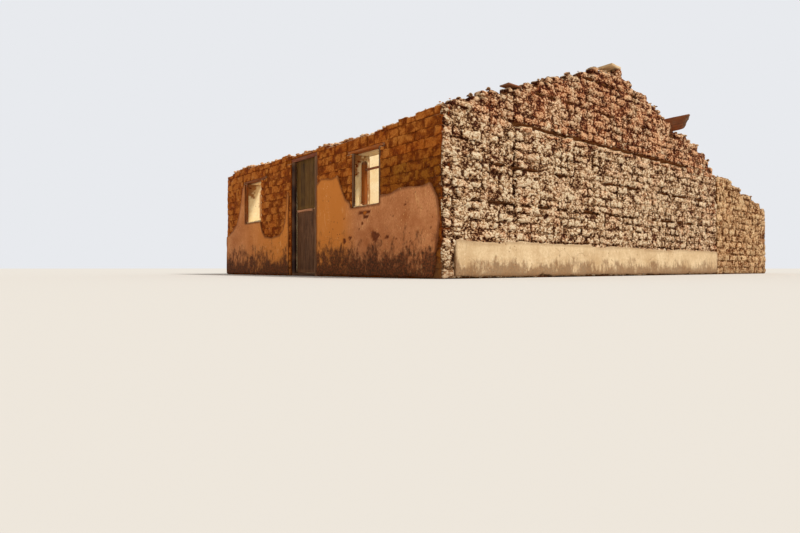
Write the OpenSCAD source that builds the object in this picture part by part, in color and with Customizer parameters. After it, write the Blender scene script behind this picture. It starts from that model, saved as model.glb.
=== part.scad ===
// A ruined adobe house without its roof: a gabled main house, a lower back room,
// a split plank door and two window openings.
// Lengths are in millimetres. +X is right as seen from the front, +Y is into the depth,
// +Z is up. The origin is at ground level under the middle of the main house.

/* [Main house] */
// Length of the front, over both side walls
front_len = 8200; // [7600:100:9600]
// Depth from the front face to the rear face
house_depth = 9840; // [8400:20:12000]
// Thickness of the outer walls
wall_t = 400; // [340:10:480]
// Height of the walls at the corners
eaves_h = 2620; // [2600:10:2900]
// Height of the gable peaks
peak_h = 4240; // [3800:20:4800]
// Thickness of the beaten earth floor
floor_t = 50; // [30:5:58]

/* [Adobe courses] */
// Length of one adobe brick
brick_len = 430; // [380:10:480]
// Height of a course in the front wall
front_course_h = 140; // [120:1:160]
// Height of a course in the gable walls
gable_course_h = 150; // [130:1:170]
// Height of a course in the back room
back_course_h = 168; // [140:1:180]
// Unevenness of the worn wall tops
wear = 36; // [0:3:60]

/* [Back room] */
// Depth behind the main house
back_depth = 3570; // [2600:10:4400]
// Thickness of its walls
back_wall_t = 380; // [300:10:440]
// Drop of its wall tops below the eaves, where it meets the main house
back_drop = 20; // [0:10:300]
// Height at its far end
back_low_h = 1800; // [1400:10:2200]
// Width of the doorway gap in its end wall
back_gap_w = 1000; // [800:10:1200]
// Width of the doorway from the main house
inner_door_w = 900; // [750:10:1100]
// Height of the doorway from the main house
inner_door_h = 2050; // [1900:10:2200]

/* [Front door] */
// Middle of the door from the middle of the house
door_x = -45; // [-300:5:300]
// Width over the door frame
frame_w = 1086; // [980:2:1300]
// Width of a door post
post_w = 130; // [90:5:150]
// Depth of a door post
post_d = 60; // [50:1:140]
// Depth of the frame behind the face of the wall
frame_setback = 20; // [5:5:60]
// Depth of the underside of the door head below the eaves
head_drop = 208; // [200:2:400]
// Height of the door head beam
head_t = 72; // [50:2:90]
// Height of the inner lintel's underside over that of the head beam
inner_lintel_lift = 22; // [14:1:30]
// Height of the courses over the door
over_door_h = 54; // [20:2:60]
// Reach of the head beam over the wall on its left
head_reach = 175; // [100:5:300]
// Height of the door sill
sill_h = 60; // [60:2:100]
// Height of the top of the lower leaf
lower_leaf_top = 1385; // [1100:5:1600]
// Distance of the hinges from the top and bottom of a leaf
hinge_inset = 170; // [120:5:220]
// Thickness of the leaf boards
leaf_t = 30; // [22:1:40]
// Overlap of a leaf behind each post
leaf_lap = 20; // [10:1:40]
// Clearance round a moving leaf
leaf_gap = 6; // [5:0.5:10]
// Length of the rail on the lower leaf
rail_len = 660; // [500:10:760]
// Number of boards in a leaf
boards = 5; // [3:1:7]
// Thickness of the ledges behind the boards
ledge_t = 25; // [18:1:35]
// Height of the ledges
ledge_h = 105; // [80:5:140]
// Length of the strap hinges
strap_len = 480; // [300:10:600]
// Radius of the hinge pins
pin_r = 7; // [5:0.5:9]

/* [Windows] */
// Width of the window openings
window_w = 850; // [700:10:950]
// Height of the window openings
window_h = 970; // [800:10:1000]
// Depth of the window heads below the eaves
window_drop = 379; // [360:1:420]
// Middle of the right window from the middle of the house
right_window_x = 2154; // [1800:2:2500]
// Middle of the left window from the middle of the house
left_window_x = -2476; // [-2500:2:-2100]
// Thickness of the lintel planks
lintel_t = 45; // [30:1:60]
// Bearing of the lintel planks on the wall
lintel_bearing = 130; // [80:5:180]
// Extra bearing of the left window's lintel towards the door
long_bearing = 155; // [0:5:200]
// Width of the jamb boards
jamb_w = 44; // [20:1:60]
// Depth of the jamb boards
jamb_d = 45; // [30:1:120]
// Width of the broken post inside the right window
stump_w = 100; // [60:5:120]
// Depth of the broken post
stump_d = 90; // [60:5:120]
// Distance of the broken post behind the face of the wall
stump_set = 200; // [120:10:300]
// Length missing above the broken post
stump_short = 105; // [50:5:300]
// Thickness of the bar left between the broken post and the reveal
bar_t = 40; // [25:1:60]
// Depth of the bar below the window head
bar_drop = 262; // [200:2:400]

/* [Plaster] */
// Thickness of the plaster
plaster_t = 22; // [12:1:30]
// Height of the plaster band along the side walls
dado_h = 600; // [450:10:700]
// Height of the plaster's lower edge
plaster_z = 20; // [10:1:60]
// Length of side wall left bare next to the front corner
corner_bare = 246; // [100:2:400]
// Thickness of the plaster inside the rooms
inner_plaster_t = 15; // [8:1:20]
// Drop of the inner plaster's worn top below the eaves
inner_plaster_drop = 370; // [360:5:600]
// Drop of its top below the slopes of the gables
gable_plaster_drop = 270; // [250:5:500]

/* [Gable remains] */
// Distance of the roof beam stub from the rear face
stub_from_rear = 2540; // [2200:10:2900]
// Width of the roof beam stub
stub_w = 120; // [80:5:150]
// Height of the roof beam stub
stub_h = 125; // [80:5:150]
// Reach of the stub beyond the wall
stub_reach = 420; // [200:10:460]
// Upward tilt of the stub, in degrees
stub_tilt = 17; // [0:1:18]
// Distance of the upright crack from the front face
crack_y = 1680; // [1400:10:2000]
// Width of the crack
crack_w = 24; // [10:2:40]
// Depth of the crack and of the hollow course
groove_d = 60; // [30:5:100]
// Height of the bed joints that the rain has washed out most
joint_h = 22; // [10:2:30]
// Depth of those joints
joint_d = 40; // [20:5:60]
// Height of the hollow course at the eaves
hollow_h = 42; // [20:2:70]
// Drop of the worn front corner on the left
corner_drop = 50; // [0:5:140]
// Width of the board left on the gable top
top_board_w = 200; // [150:10:380]
// Thickness of the board
top_board_t = 28; // [20:1:40]
// Width of the slab left on the peak
slab_w = 320; // [200:10:380]
// Thickness of the slab
slab_t = 60; // [40:2:80]

/* [Hidden] */
$fn = 32;
eps = 10;
samples = 60;
fit_gap = 0.3;
front_y = -house_depth / 2;
rear_y = house_depth / 2;
right_x = front_len / 2;
inner_x = right_x - wall_t;
end_y = rear_y + back_depth;
back_high_h = eaves_h - back_drop;
head_z = eaves_h - head_drop;
window_top = eaves_h - window_drop;
window_z = window_top - window_h;
door_l = door_x - frame_w / 2;
door_r = door_x + frame_w / 2;
clear_l = door_l + post_w;
clear_r = door_r - post_w;
frame_y = front_y + frame_setback;
post_back = frame_y + post_d;
leaf_y = post_back + leaf_gap;
leaf_back = leaf_y + leaf_t;
leaf_l = clear_l - leaf_lap;
leaf_w = clear_r - clear_l + 2 * leaf_lap;
head_top = head_z + head_t;
inner_lintel_z = head_z + inner_lintel_lift;
leaf_top = inner_lintel_z - leaf_gap - 4;
leaf_bottom = sill_h + leaf_gap;
upper_leaf_bottom = lower_leaf_top + leaf_gap;
board_gap = 3;
ledge_inset = 20;
strap_h = 36;
strap_t = 6;
barrel_r = pin_r + 5;
barrel_h = 52;
hinge_x = leaf_l - barrel_r - 2;
hinge_y = leaf_back + ledge_t + strap_t / 2;
arm_h = 10;
rail_h = 45;
rail_t = 22;
rail_inset = 14;
half_brick = brick_len / 2;
gable_steps = round(house_depth / half_brick);
gable_step = house_depth / gable_steps;
back_steps = round(back_depth / half_brick);
back_step = back_depth / back_steps;
gable_rise = peak_h - eaves_h;
crack_foot = 0.38 * eaves_h;
back_bend = 1.25;
joint_every = 4;
stub_i = floor((house_depth - stub_from_rear) / gable_step);
stub_y = (stub_i + 0.5) * gable_step;
layer_t = wall_t / 2;
back_layer_t = back_wall_t / 2;
// Share of the rise of the gable top at each share of the depth
gable_line = [
    [0, -0.02], [0.08, 0.18], [0.18, 0.39], [0.27, 0.57], [0.40, 0.85], [0.51, 1],
    [0.59, 0.85], [0.72, 0.58], [0.79, 0.47], [0.90, 0.32], [0.97, 0.08], [1, 0]
];
// Front wall top against the eaves, in courses, from the door to each corner
front_right_line = [
    [0, -0.2], [0.3, -0.55], [0.62, -0.67], [0.7, -0.35], [0.87, -0.05], [1, 0.12]
];
front_left_line = [[0, -0.47], [0.07, 0], [0.42, -0.05], [0.76, 0.43], [0.95, 0.2], [1, 0.07]];
gable_wear = wear * rands(0, 1, samples, 11);
front_wear = wear * rands(0, 1, samples, 23);
back_wear = wear * rands(0, 1, samples, 37);
dado_wear = wear * rands(-0.7, 0.7, samples, 41);
inner_wear = wear * rands(-1.5, 0, samples, 47);
// Courses missing from the inner layer of a wall, by step
inner_loss = [for (r = rands(0, 1, samples, 53)) r < 0.4 ? 0 : r < 0.75 ? 0.4 : 1];
gable_tops = [
    for (i = [0 : gable_steps - 1])
        eaves_h + gable_course_h * round(gable_rise * lookup((i + 0.5) / gable_steps, gable_line)
        / gable_course_h) - gable_wear[i]
];
back_tops = [
    for (i = [0 : back_steps - 1])
        back_high_h - back_course_h * floor((back_high_h - back_low_h)
        * pow((i + 0.5) / back_steps, back_bend) / back_course_h) - back_wear[i]
];
stub_z = gable_tops[stub_i] - stub_h / 2;

// Outline of a wall with a stepped top, from the length of one step and the top of each
function stepped(x0, step, tops) = let (n = len(tops)) concat(
    [[x0, 0]],
    [
        for (i = [0 : n - 1]) each concat(
            (i == 0 || tops[i] != tops[i - 1]) ? [[x0 + i * step, tops[i]]] : [],
            (i == n - 1 || tops[i] != tops[i + 1]) ? [[x0 + (i + 1) * step, tops[i]]] : []
        )
    ],
    [[x0 + n * step, 0]]
);

// Tops of the inner layer of a wall, which has lost more bricks; the steps listed keep theirs
function inner_layer(tops, course, from, whole) = [
    for (i = [0 : len(tops) - 1])
        tops[i] - (len(search(i, whole)) > 0 ? 0 : course * inner_loss[(i + from) % samples])
];

// Height of the worn top of a gable at a place along it, before it is cut into courses
function gable_at(y) = eaves_h + gable_rise * lookup((y - front_y) / house_depth, gable_line);

// Highest of the gable steps that a loose piece lies over
function gable_seat(i, j) = max([for (k = [i : j]) gable_tops[k]]);

module upright_x(y0, depth) {
    translate([0, y0 + depth, 0])
        rotate([90, 0, 0])
            linear_extrude(depth)
                children();
}

module upright_y(x0, depth) {
    translate([x0, 0, 0])
        rotate([90, 0, 90])
            linear_extrude(depth)
                children();
}

// A wall along X of two layers of brick, each with its own worn top
module layered_wall_x(x0, step, tops, inner_tops, y0, t, outer_at_low) {
    upright_x(outer_at_low ? y0 : y0 + t, t)
        polygon(stepped(x0, step, tops));
    upright_x(outer_at_low ? y0 + t : y0, t)
        polygon(stepped(x0, step, inner_tops));
}

// The same along Y
module layered_wall_y(y0, step, tops, inner_tops, x0, t, outer_at_low) {
    upright_y(outer_at_low ? x0 : x0 + t, t)
        polygon(stepped(y0, step, tops));
    upright_y(outer_at_low ? x0 + t : x0, t)
        polygon(stepped(y0, step, inner_tops));
}

module block(x0, x1, y0, y1, z0, z1) {
    translate([x0, y0, z0])
        cube([x1 - x0, y1 - y0, z1 - z0]);
}

// Space of a window, through the whole wall
module window_hole(middle) {
    block(middle - window_w / 2, middle + window_w / 2, front_y - eps, front_y + wall_t + eps,
        window_z, window_top);
}

// Planks of a window lintel, set side by side through the wall
module lintel_planks(x0, x1, z0, t, y0, depth, count) {
    plank_w = (depth - (count - 1) * board_gap) / count;
    for (i = [0 : count - 1])
        translate([x0, y0 + i * (plank_w + board_gap), z0])
            cube([x1 - x0, plank_w, t]);
}

module right_lintel_space() {
    block(right_window_x - window_w / 2 - lintel_bearing, right_window_x + window_w / 2 + lintel_bearing,
        front_y - eps, front_y + wall_t + eps, window_top, window_top + lintel_t);
}

module left_lintel_space() {
    block(left_window_x - window_w / 2 - lintel_bearing,
        left_window_x + window_w / 2 + lintel_bearing + long_bearing,
        front_y - eps, front_y + wall_t + eps, window_top, window_top + lintel_t);
}

module door_lintel_space() {
    block(door_l - lintel_bearing, door_r + lintel_bearing, post_back, front_y + wall_t + eps,
        inner_lintel_z, head_top);
    block(door_l - head_reach, door_r, frame_y, post_back, head_z, head_top);
}

module front_wall_right() {
    steps = round((inner_x - door_r) / half_brick);
    tops = [
        for (i = [0 : steps - 1])
            eaves_h + front_course_h * lookup((i + 0.5) / steps, front_right_line) - front_wear[i]
    ];
    color("peru")
        difference() {
            layered_wall_x(door_r, (inner_x - door_r) / steps, tops,
                inner_layer(tops, front_course_h, 3, [0, 1]), front_y, layer_t, true);
            window_hole(right_window_x);
            right_lintel_space();
            door_lintel_space();
        }
}

module front_wall_left() {
    steps = round((inner_x + door_l) / half_brick);
    tops = [
        for (i = [0 : steps - 1])
            eaves_h + front_course_h * lookup(1 - (i + 0.5) / steps, front_left_line)
            - front_wear[i + 30]
    ];
    color("peru")
        difference() {
            layered_wall_x(-inner_x, (inner_x + door_l) / steps, tops,
                inner_layer(tops, front_course_h, 21, [steps - 2, steps - 1]), front_y, layer_t, true);
            window_hole(left_window_x);
            left_lintel_space();
            door_lintel_space();
        }
}

module front_wall_over_door() {
    steps = round(frame_w / half_brick);
    color("peru")
        upright_x(frame_y, wall_t - frame_setback)
            translate([0, head_top])
                polygon(stepped(door_l, frame_w / steps, 
                    [for (i = [0 : steps - 1]) over_door_h + front_wear[i + 20]]));
}

module gable_layers(x0, outer_at_low, drop) {
    tops = [for (i = [0 : gable_steps - 1]) gable_tops[i] - (i == 0 ? drop : 0)];
    layered_wall_y(front_y, gable_step, tops,
        inner_layer(tops, gable_course_h, 9, [0, 1, stub_i, gable_steps - 1]), x0, layer_t, outer_at_low);
}

// Every fourth bed joint of a gable, washed out by the rain: below the eaves in the courses
// counted from the ground, and above in those counted from the eaves
module washed_joints(x0) {
    rows = round(eaves_h / gable_course_h);
    below = [for (i = [2 * joint_every : joint_every : rows - joint_every]) i * eaves_h / rows];
    above = [
        for (i = [joint_every : joint_every : floor(gable_rise / gable_course_h) - 2])
            eaves_h + i * gable_course_h
    ];
    for (z = concat(below, above))
        block(x0, x0 + joint_d + eps, front_y + corner_bare, rear_y - corner_bare,
            z - joint_h / 2, z + joint_h / 2);
}

module roof_beam_space(clear, up) {
    translate([right_x, front_y + stub_y, stub_z])
        rotate([0, -stub_tilt, 0])
            translate([-2 * wall_t, -stub_w / 2 - clear, 0])
                cube([2 * wall_t + stub_reach, stub_w + 2 * clear, stub_h + up]);
}

module right_gable_wall() {
    color("burlywood")
        difference() {
            gable_layers(inner_x, false, 0);
            roof_beam_space(fit_gap, 3 * stub_h);
            block(right_x - groove_d, right_x + eps, front_y + crack_y - crack_w / 2,
                front_y + crack_y + crack_w / 2, crack_foot, peak_h);
            block(right_x - groove_d, right_x + eps, front_y + crack_y, rear_y - crack_y,
                eaves_h - hollow_h, eaves_h);
            washed_joints(right_x - joint_d);
        }
}

module left_gable_wall() {
    color("burlywood")
        difference() {
            gable_layers(-right_x, true, corner_drop);
            washed_joints(-right_x - eps);
        }
}

module rear_wall_side(from, to, at) {
    steps = round((to - from) / half_brick);
    tops = [for (i = [0 : steps - 1]) eaves_h - 1.5 * front_wear[i + at]];
    color("peru")
        difference() {
            layered_wall_x(from, (to - from) / steps, tops,
                inner_layer(tops, front_course_h, at, []), rear_y - wall_t, layer_t, false);
            rear_lintel_space();
        }
}

module rear_lintel_space() {
    block(-inner_door_w / 2 - lintel_bearing, inner_door_w / 2 + lintel_bearing,
        rear_y - wall_t - eps, rear_y + eps, inner_door_h, inner_door_h + head_t);
}

module rear_wall_right() {
    rear_wall_side(inner_door_w / 2, inner_x, 5);
}

module rear_wall_left() {
    rear_wall_side(-inner_x, -inner_door_w / 2, 35);
}

module rear_wall_over_doorway() {
    steps = round(inner_door_w / half_brick);
    top = eaves_h - inner_door_h - head_t;
    color("peru")
        upright_x(rear_y - wall_t, wall_t)
            translate([0, inner_door_h + head_t])
                polygon(stepped(-inner_door_w / 2, inner_door_w / steps,
                    [for (i = [0 : steps - 1]) top - front_wear[i + 25]]));
}

module rear_doorway_lintel() {
    color("saddlebrown")
        lintel_planks(-inner_door_w / 2 - lintel_bearing, inner_door_w / 2 + lintel_bearing,
            inner_door_h, head_t, rear_y - wall_t, wall_t, 3);
}

module back_side_layers(x0, outer_at_low) {
    layered_wall_y(rear_y, back_step, back_tops,
        inner_layer(back_tops, back_course_h, 17, [0]), x0, back_layer_t, outer_at_low);
}

module back_room_right_wall() {
    color("burlywood")
        difference() {
            back_side_layers(right_x - back_wall_t, false);
            block(right_x - groove_d, right_x + eps, rear_y - eps, rear_y + crack_w / 2, -eps, eaves_h);
        }
}

module back_room_left_wall() {
    color("burlywood")
        back_side_layers(-right_x, true);
}

// One half of the end wall, falling in steps towards the doorway gap
module back_end_half() {
    from = back_gap_w / 2;
    to = right_x - back_wall_t;
    steps = round((to - from) / half_brick);
    worn_steps = 3;
    tops = [
        for (i = [0 : steps - 1])
            back_low_h - back_course_h * max(worn_steps - i, 0) - back_wear[i + 20]
    ];
    layered_wall_x(from, (to - from) / steps, tops,
        inner_layer(tops, back_course_h, 2, []), end_y - back_wall_t, back_layer_t, false);
}

module back_room_end_wall_right() {
    color("peru")
        back_end_half();
}

module back_room_end_wall_left() {
    color("peru")
        mirror([1, 0, 0])
            back_end_half();
}

module main_floor() {
    color("rosybrown") {
        union() {
            block(-inner_x, inner_x, front_y + wall_t, rear_y - wall_t, 0, floor_t);
            block(-inner_door_w / 2, inner_door_w / 2, rear_y - wall_t - eps, rear_y, 0, floor_t);
        }
    }
}

module back_room_floor() {
    side = right_x - back_wall_t;
    color("rosybrown")
        union() {
            block(-side, side, rear_y, end_y - back_wall_t, 0, floor_t);
            block(-back_gap_w / 2, back_gap_w / 2, end_y - back_wall_t - eps, end_y, 0, floor_t);
        }
}

module door_posts() {
    color("dimgray") {
        block(door_l, clear_l, frame_y, post_back, 0, head_z);
        block(clear_r, door_r, frame_y, post_back, 0, head_z);
    }
}

module door_head() {
    color("rosybrown")
        block(door_l - head_reach, door_r, frame_y, post_back, head_z, head_top);
}

module door_inner_lintel() {
    color("saddlebrown")
        lintel_planks(door_l - lintel_bearing, door_r + lintel_bearing, inner_lintel_z,
            head_top - inner_lintel_z, post_back, wall_t - frame_setback - post_d, 2);
}

module door_sill() {
    color("gray")
        union() {
            block(clear_l, clear_r, frame_y, post_back + eps, 0, sill_h);
            block(door_l, door_r, post_back, front_y + wall_t, 0, sill_h);
        }
}

// Heights of the hinge barrels of a leaf, at the middle of its ledges
function hinge_heights(z0, z1) = [z0 + hinge_inset, z1 - hinge_inset - barrel_h];

module leaf_boards(z0, z1) {
    board_w = (leaf_w - (boards - 1) * board_gap) / boards;
    for (i = [0 : boards - 1])
        translate([leaf_l + i * (board_w + board_gap), leaf_y, z0])
            cube([board_w, leaf_t, z1 - z0]);
}

module leaf_ledges(z0, z1) {
    for (z = hinge_heights(z0, z1))
        block(leaf_l + ledge_inset, leaf_l + leaf_w - ledge_inset, leaf_back, leaf_back + ledge_t,
            z + (barrel_h - ledge_h) / 2, z + (barrel_h + ledge_h) / 2);
}

module leaf_straps(z0, z1) {
    for (z = hinge_heights(z0, z1))
        difference() {
            union() {
                translate([hinge_x, hinge_y, z])
                    cylinder(r = barrel_r, h = barrel_h);
                block(hinge_x, hinge_x + strap_len, hinge_y - strap_t / 2, hinge_y + strap_t / 2,
                    z + (barrel_h - strap_h) / 2, z + (barrel_h + strap_h) / 2);
            }
            translate([hinge_x, hinge_y, z - 1])
                cylinder(r = pin_r + fit_gap, h = barrel_h + 2);
        }
}

module hinge_pin(z) {
    translate([hinge_x, hinge_y, z - fit_gap - arm_h])
        cylinder(r = pin_r, h = barrel_h + fit_gap + arm_h + pin_r);
    block(hinge_x - pin_r - 2, hinge_x + pin_r + 2, post_back, hinge_y + pin_r + 2,
        z - fit_gap - arm_h, z - fit_gap);
}

module door_hinge_pins() {
    color("darkslategray")
        for (z = concat(hinge_heights(leaf_bottom, lower_leaf_top),
                hinge_heights(upper_leaf_bottom, leaf_top)))
            union()
                hinge_pin(z);
}

module upper_leaf_boards() {
    color("darkolivegreen")
        leaf_boards(upper_leaf_bottom, leaf_top);
}

module upper_leaf_ledges() {
    color("saddlebrown")
        leaf_ledges(upper_leaf_bottom, leaf_top);
}

module upper_leaf_straps() {
    color("darkslategray")
        leaf_straps(upper_leaf_bottom, leaf_top);
}

module lower_leaf_boards() {
    color("olive")
        leaf_boards(leaf_bottom, lower_leaf_top);
}

module lower_leaf_ledges() {
    color("saddlebrown")
        leaf_ledges(leaf_bottom, lower_leaf_top);
}

module lower_leaf_straps() {
    color("darkslategray")
        leaf_straps(leaf_bottom, lower_leaf_top);
}

module lower_leaf_rail() {
    color("rosybrown")
        block(clear_l + rail_inset, clear_l + rail_inset + rail_len, leaf_y - rail_t, leaf_y,
            lower_leaf_top - rail_h, lower_leaf_top);
}

module right_window_lintel() {
    color("sienna")
        lintel_planks(right_window_x - window_w / 2 - lintel_bearing,
            right_window_x + window_w / 2 + lintel_bearing, window_top, lintel_t, front_y, wall_t, 3);
}

module left_window_lintel() {
    color("sienna")
        lintel_planks(left_window_x - window_w / 2 - lintel_bearing,
            left_window_x + window_w / 2 + lintel_bearing + long_bearing,
            window_top, lintel_t, front_y, wall_t, 3);
}

module jamb(x0) {
    block(x0, x0 + jamb_w, front_y, front_y + jamb_d, window_z, window_top);
}

module right_window_jambs() {
    color("saddlebrown") {
        jamb(right_window_x - window_w / 2);
        jamb(right_window_x + window_w / 2 - jamb_w);
    }
}

module left_window_jamb() {
    color("sienna")
        jamb(left_window_x - window_w / 2);
}

module right_window_post_stump() {
    x0 = right_window_x - window_w / 2;
    color("saddlebrown")
        block(x0, x0 + stump_w, front_y + stump_set, front_y + stump_set + stump_d, window_z,
            window_top - stump_short);
}

// A bar of the old window frame, from the broken post to the right reveal
module right_window_bar() {
    x0 = right_window_x - window_w / 2 + stump_w;
    middle = front_y + stump_set + stump_d / 2;
    color("saddlebrown")
        block(x0, right_window_x + window_w / 2, middle - bar_t / 2, middle + bar_t / 2,
            window_top - bar_drop - bar_t, window_top - bar_drop);
}

// Height on the front, in window heights over the window sill
function at_window(share) = window_z + share * window_h;

// Point between two places on the front and at a height, all in shares
function between(a, b, share, height) = [a + share * (b - a), at_window(height)];

// The plaster left on the front, from the door frame to the right corner
module front_plaster_right() {
    wl = right_window_x - window_w / 2;
    wr = right_window_x + window_w / 2;
    by_door = [
        [0, 0.55], [0.16, 0.68], [0.46, 0.63], [0.63, 0.66], [0.69, 0.55], [0.76, 0.38],
        [0.86, 0.17], [1, 0.08], [1, 0]
    ];
    by_corner = [
        [0, 0], [0, 0.13], [0.19, 0.15], [0.35, 0.2], [0.52, 0.21], [0.73, 0.19], [0.84, 0.21],
        [0.89, 0.13], [0.95, -0.04], [0.98, -0.25], [0.99, -0.38], [0.95, -0.72]
    ];
    color("tan")
        upright_x(front_y - plaster_t, plaster_t)
            polygon(concat(
                [[door_r, plaster_z]],
                [for (p = by_door) between(door_r, wl, p[0], p[1])],
                [for (p = by_corner) between(wr, right_x, p[0], p[1])],
                [[wr + 0.89 * (right_x - wr), plaster_z]]
            ));
}

// The plaster left on the front, from the door frame to the left corner
module front_plaster_left() {
    wl = left_window_x - window_w / 2;
    wr = left_window_x + window_w / 2;
    by_door = [
        [0.04, 0.55], [0.1, 0.55], [0.13, 0.21], [0.16, -0.04], [0.22, -0.25], [0.33, -0.38],
        [0.61, -0.42], [0.83, -0.38], [0.92, -0.25], [0.96, -0.12], [1, 0]
    ];
    by_corner = [
        [0, 0], [0, 0.98], [0.08, 0.98], [0.15, 0.85], [0.21, 0.63], [0.28, 0.38], [0.35, 0.17],
        [0.45, 0], [0.66, -0.17], [0.86, -0.25], [0.98, -0.28]
    ];
    color("tan")
        upright_x(front_y - plaster_t, plaster_t)
            polygon(concat(
                [[door_l + 0.04 * (wr - door_l), plaster_z]],
                [for (p = by_door) between(door_l, wr, p[0], p[1])],
                [for (p = by_corner) between(wl, -right_x, p[0], p[1])],
                [[wl - 0.98 * (wl + right_x), plaster_z]]
            ));
}

// A band of plaster with a worn upper edge, cut into n runs
function worn_band(from, to, low, high, wears) = let (n = 24, run = (to - from) / n) concat(
    [[from, low]],
    [for (i = [0 : n]) [from + i * run, high + wears[i]]],
    [[to, low]]
);

module right_side_plaster() {
    color("wheat")
        upright_y(right_x, plaster_t)
            polygon(worn_band(front_y + corner_bare, rear_y, plaster_z, dado_h, dado_wear));
}

module left_side_plaster() {
    color("wheat")
        upright_y(-right_x - plaster_t, plaster_t)
            polygon(worn_band(front_y + corner_bare, rear_y, plaster_z, dado_h, dado_wear));
}

// Plaster inside a gable, up to a worn edge that follows its slopes
module inner_side_plaster(x0) {
    n = 24;
    from = front_y + wall_t;
    run = (house_depth - 2 * wall_t) / n;
    color("oldlace")
        upright_y(x0, inner_plaster_t)
            polygon(concat(
                [[from, floor_t]],
                [
                    for (i = [0 : n]) let (y = from + i * run)
                        [y, gable_at(y) - gable_plaster_drop + inner_wear[i]]
                ],
                [[rear_y - wall_t, floor_t]]
            ));
}

module inner_plaster_right() {
    inner_side_plaster(inner_x - inner_plaster_t);
}

module inner_plaster_left() {
    inner_side_plaster(-inner_x);
}

// Inner plaster on both sides of a doorway, clear of the corners
module inner_cross_plaster(left_edge, right_edge, y0) {
    side = inner_x - inner_plaster_t;
    for (run = [[-side, left_edge], [right_edge, side]])
        upright_x(y0, inner_plaster_t)
            polygon(worn_band(run[0], run[1], floor_t, eaves_h - inner_plaster_drop, inner_wear));
}

module inner_plaster_front() {
    color("oldlace")
        difference() {
            inner_cross_plaster(door_l - leaf_lap, door_r + leaf_lap, front_y + wall_t);
            translate([0, wall_t, 0]) {
                window_hole(right_window_x);
                window_hole(left_window_x);
            }
        }
}

module inner_plaster_rear() {
    edge = inner_door_w / 2 + leaf_lap;
    color("oldlace")
        inner_cross_plaster(-edge, edge, rear_y - wall_t - inner_plaster_t);
}

// A hewn beam with chamfered edges and a slanting broken end
module roof_beam_stub() {
    c = stub_w / 6;
    color("sienna")
        translate([right_x, front_y + stub_y, stub_z])
            rotate([0, -stub_tilt, 0])
                difference() {
                    translate([-wall_t, 0, 0])
                        rotate([90, 0, 90])
                            linear_extrude(wall_t + stub_reach)
                                polygon([
                                    [c - stub_w / 2, 0], [stub_w / 2 - c, 0], [stub_w / 2, c],
                                    [stub_w / 2, stub_h - c], [stub_w / 2 - c, stub_h],
                                    [c - stub_w / 2, stub_h], [-stub_w / 2, stub_h - c], [-stub_w / 2, c]
                                ]);
                    translate([stub_reach, -stub_w, stub_h / 3])
                        rotate([0, -35, 0])
                            cube([2 * stub_h, 2 * stub_w, 2 * stub_h]);
                }
}

// Bricks left lying loose on the outer layer of the right gable
module loose_gable_bricks() {
    w = 0.42 * brick_len;
    l = 0.74 * gable_step;
    color("burlywood")
        for (i = [4, 12, stub_i - 3, stub_i + 4])
            translate([right_x - layer_t / 2, front_y + (i + 0.5) * gable_step, gable_tops[i]])
                rotate([0, 0, 5])
                    translate([-w / 2, -l / 2, 0])
                        cube([w, l, 0.55 * gable_course_h]);
}

module gable_top_board() {
    i = round(0.17 * gable_steps);
    color("dimgray")
        translate([right_x - top_board_w, front_y + (i - 0.9) * gable_step, gable_seat(i - 1, i)])
            cube([top_board_w, 1.8 * gable_step, top_board_t]);
}

module gable_top_slab() {
    i = floor(gable_steps * 0.49);
    color("tan")
        translate([right_x - slab_w, front_y + (i + 0.1) * gable_step, gable_seat(i, i + 1)])
            cube([slab_w, 1.7 * gable_step, slab_t]);
}

front_wall_right();
front_wall_left();
front_wall_over_door();
right_gable_wall();
left_gable_wall();
rear_wall_right();
rear_wall_left();
rear_wall_over_doorway();
rear_doorway_lintel();
back_room_right_wall();
back_room_left_wall();
back_room_end_wall_right();
back_room_end_wall_left();
main_floor();
back_room_floor();
door_posts();
door_head();
door_inner_lintel();
door_sill();
door_hinge_pins();
upper_leaf_boards();
upper_leaf_ledges();
upper_leaf_straps();
lower_leaf_boards();
lower_leaf_ledges();
lower_leaf_straps();
lower_leaf_rail();
right_window_lintel();
left_window_lintel();
right_window_jambs();
left_window_jamb();
right_window_post_stump();
right_window_bar();
front_plaster_right();
front_plaster_left();
right_side_plaster();
left_side_plaster();
inner_plaster_right();
inner_plaster_left();
inner_plaster_front();
inner_plaster_rear();
roof_beam_stub();
loose_gable_bricks();
gable_top_board();
gable_top_slab();
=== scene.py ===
"""Finish of a ruined adobe house: worn bricks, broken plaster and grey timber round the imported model."""

import logging
import math
import zlib
from collections.abc import Iterator
from dataclasses import dataclass, replace
from enum import Enum
from functools import cache

import bmesh
import bpy
import numpy as np
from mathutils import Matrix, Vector
from mathutils.bvhtree import BVHTree


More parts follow.
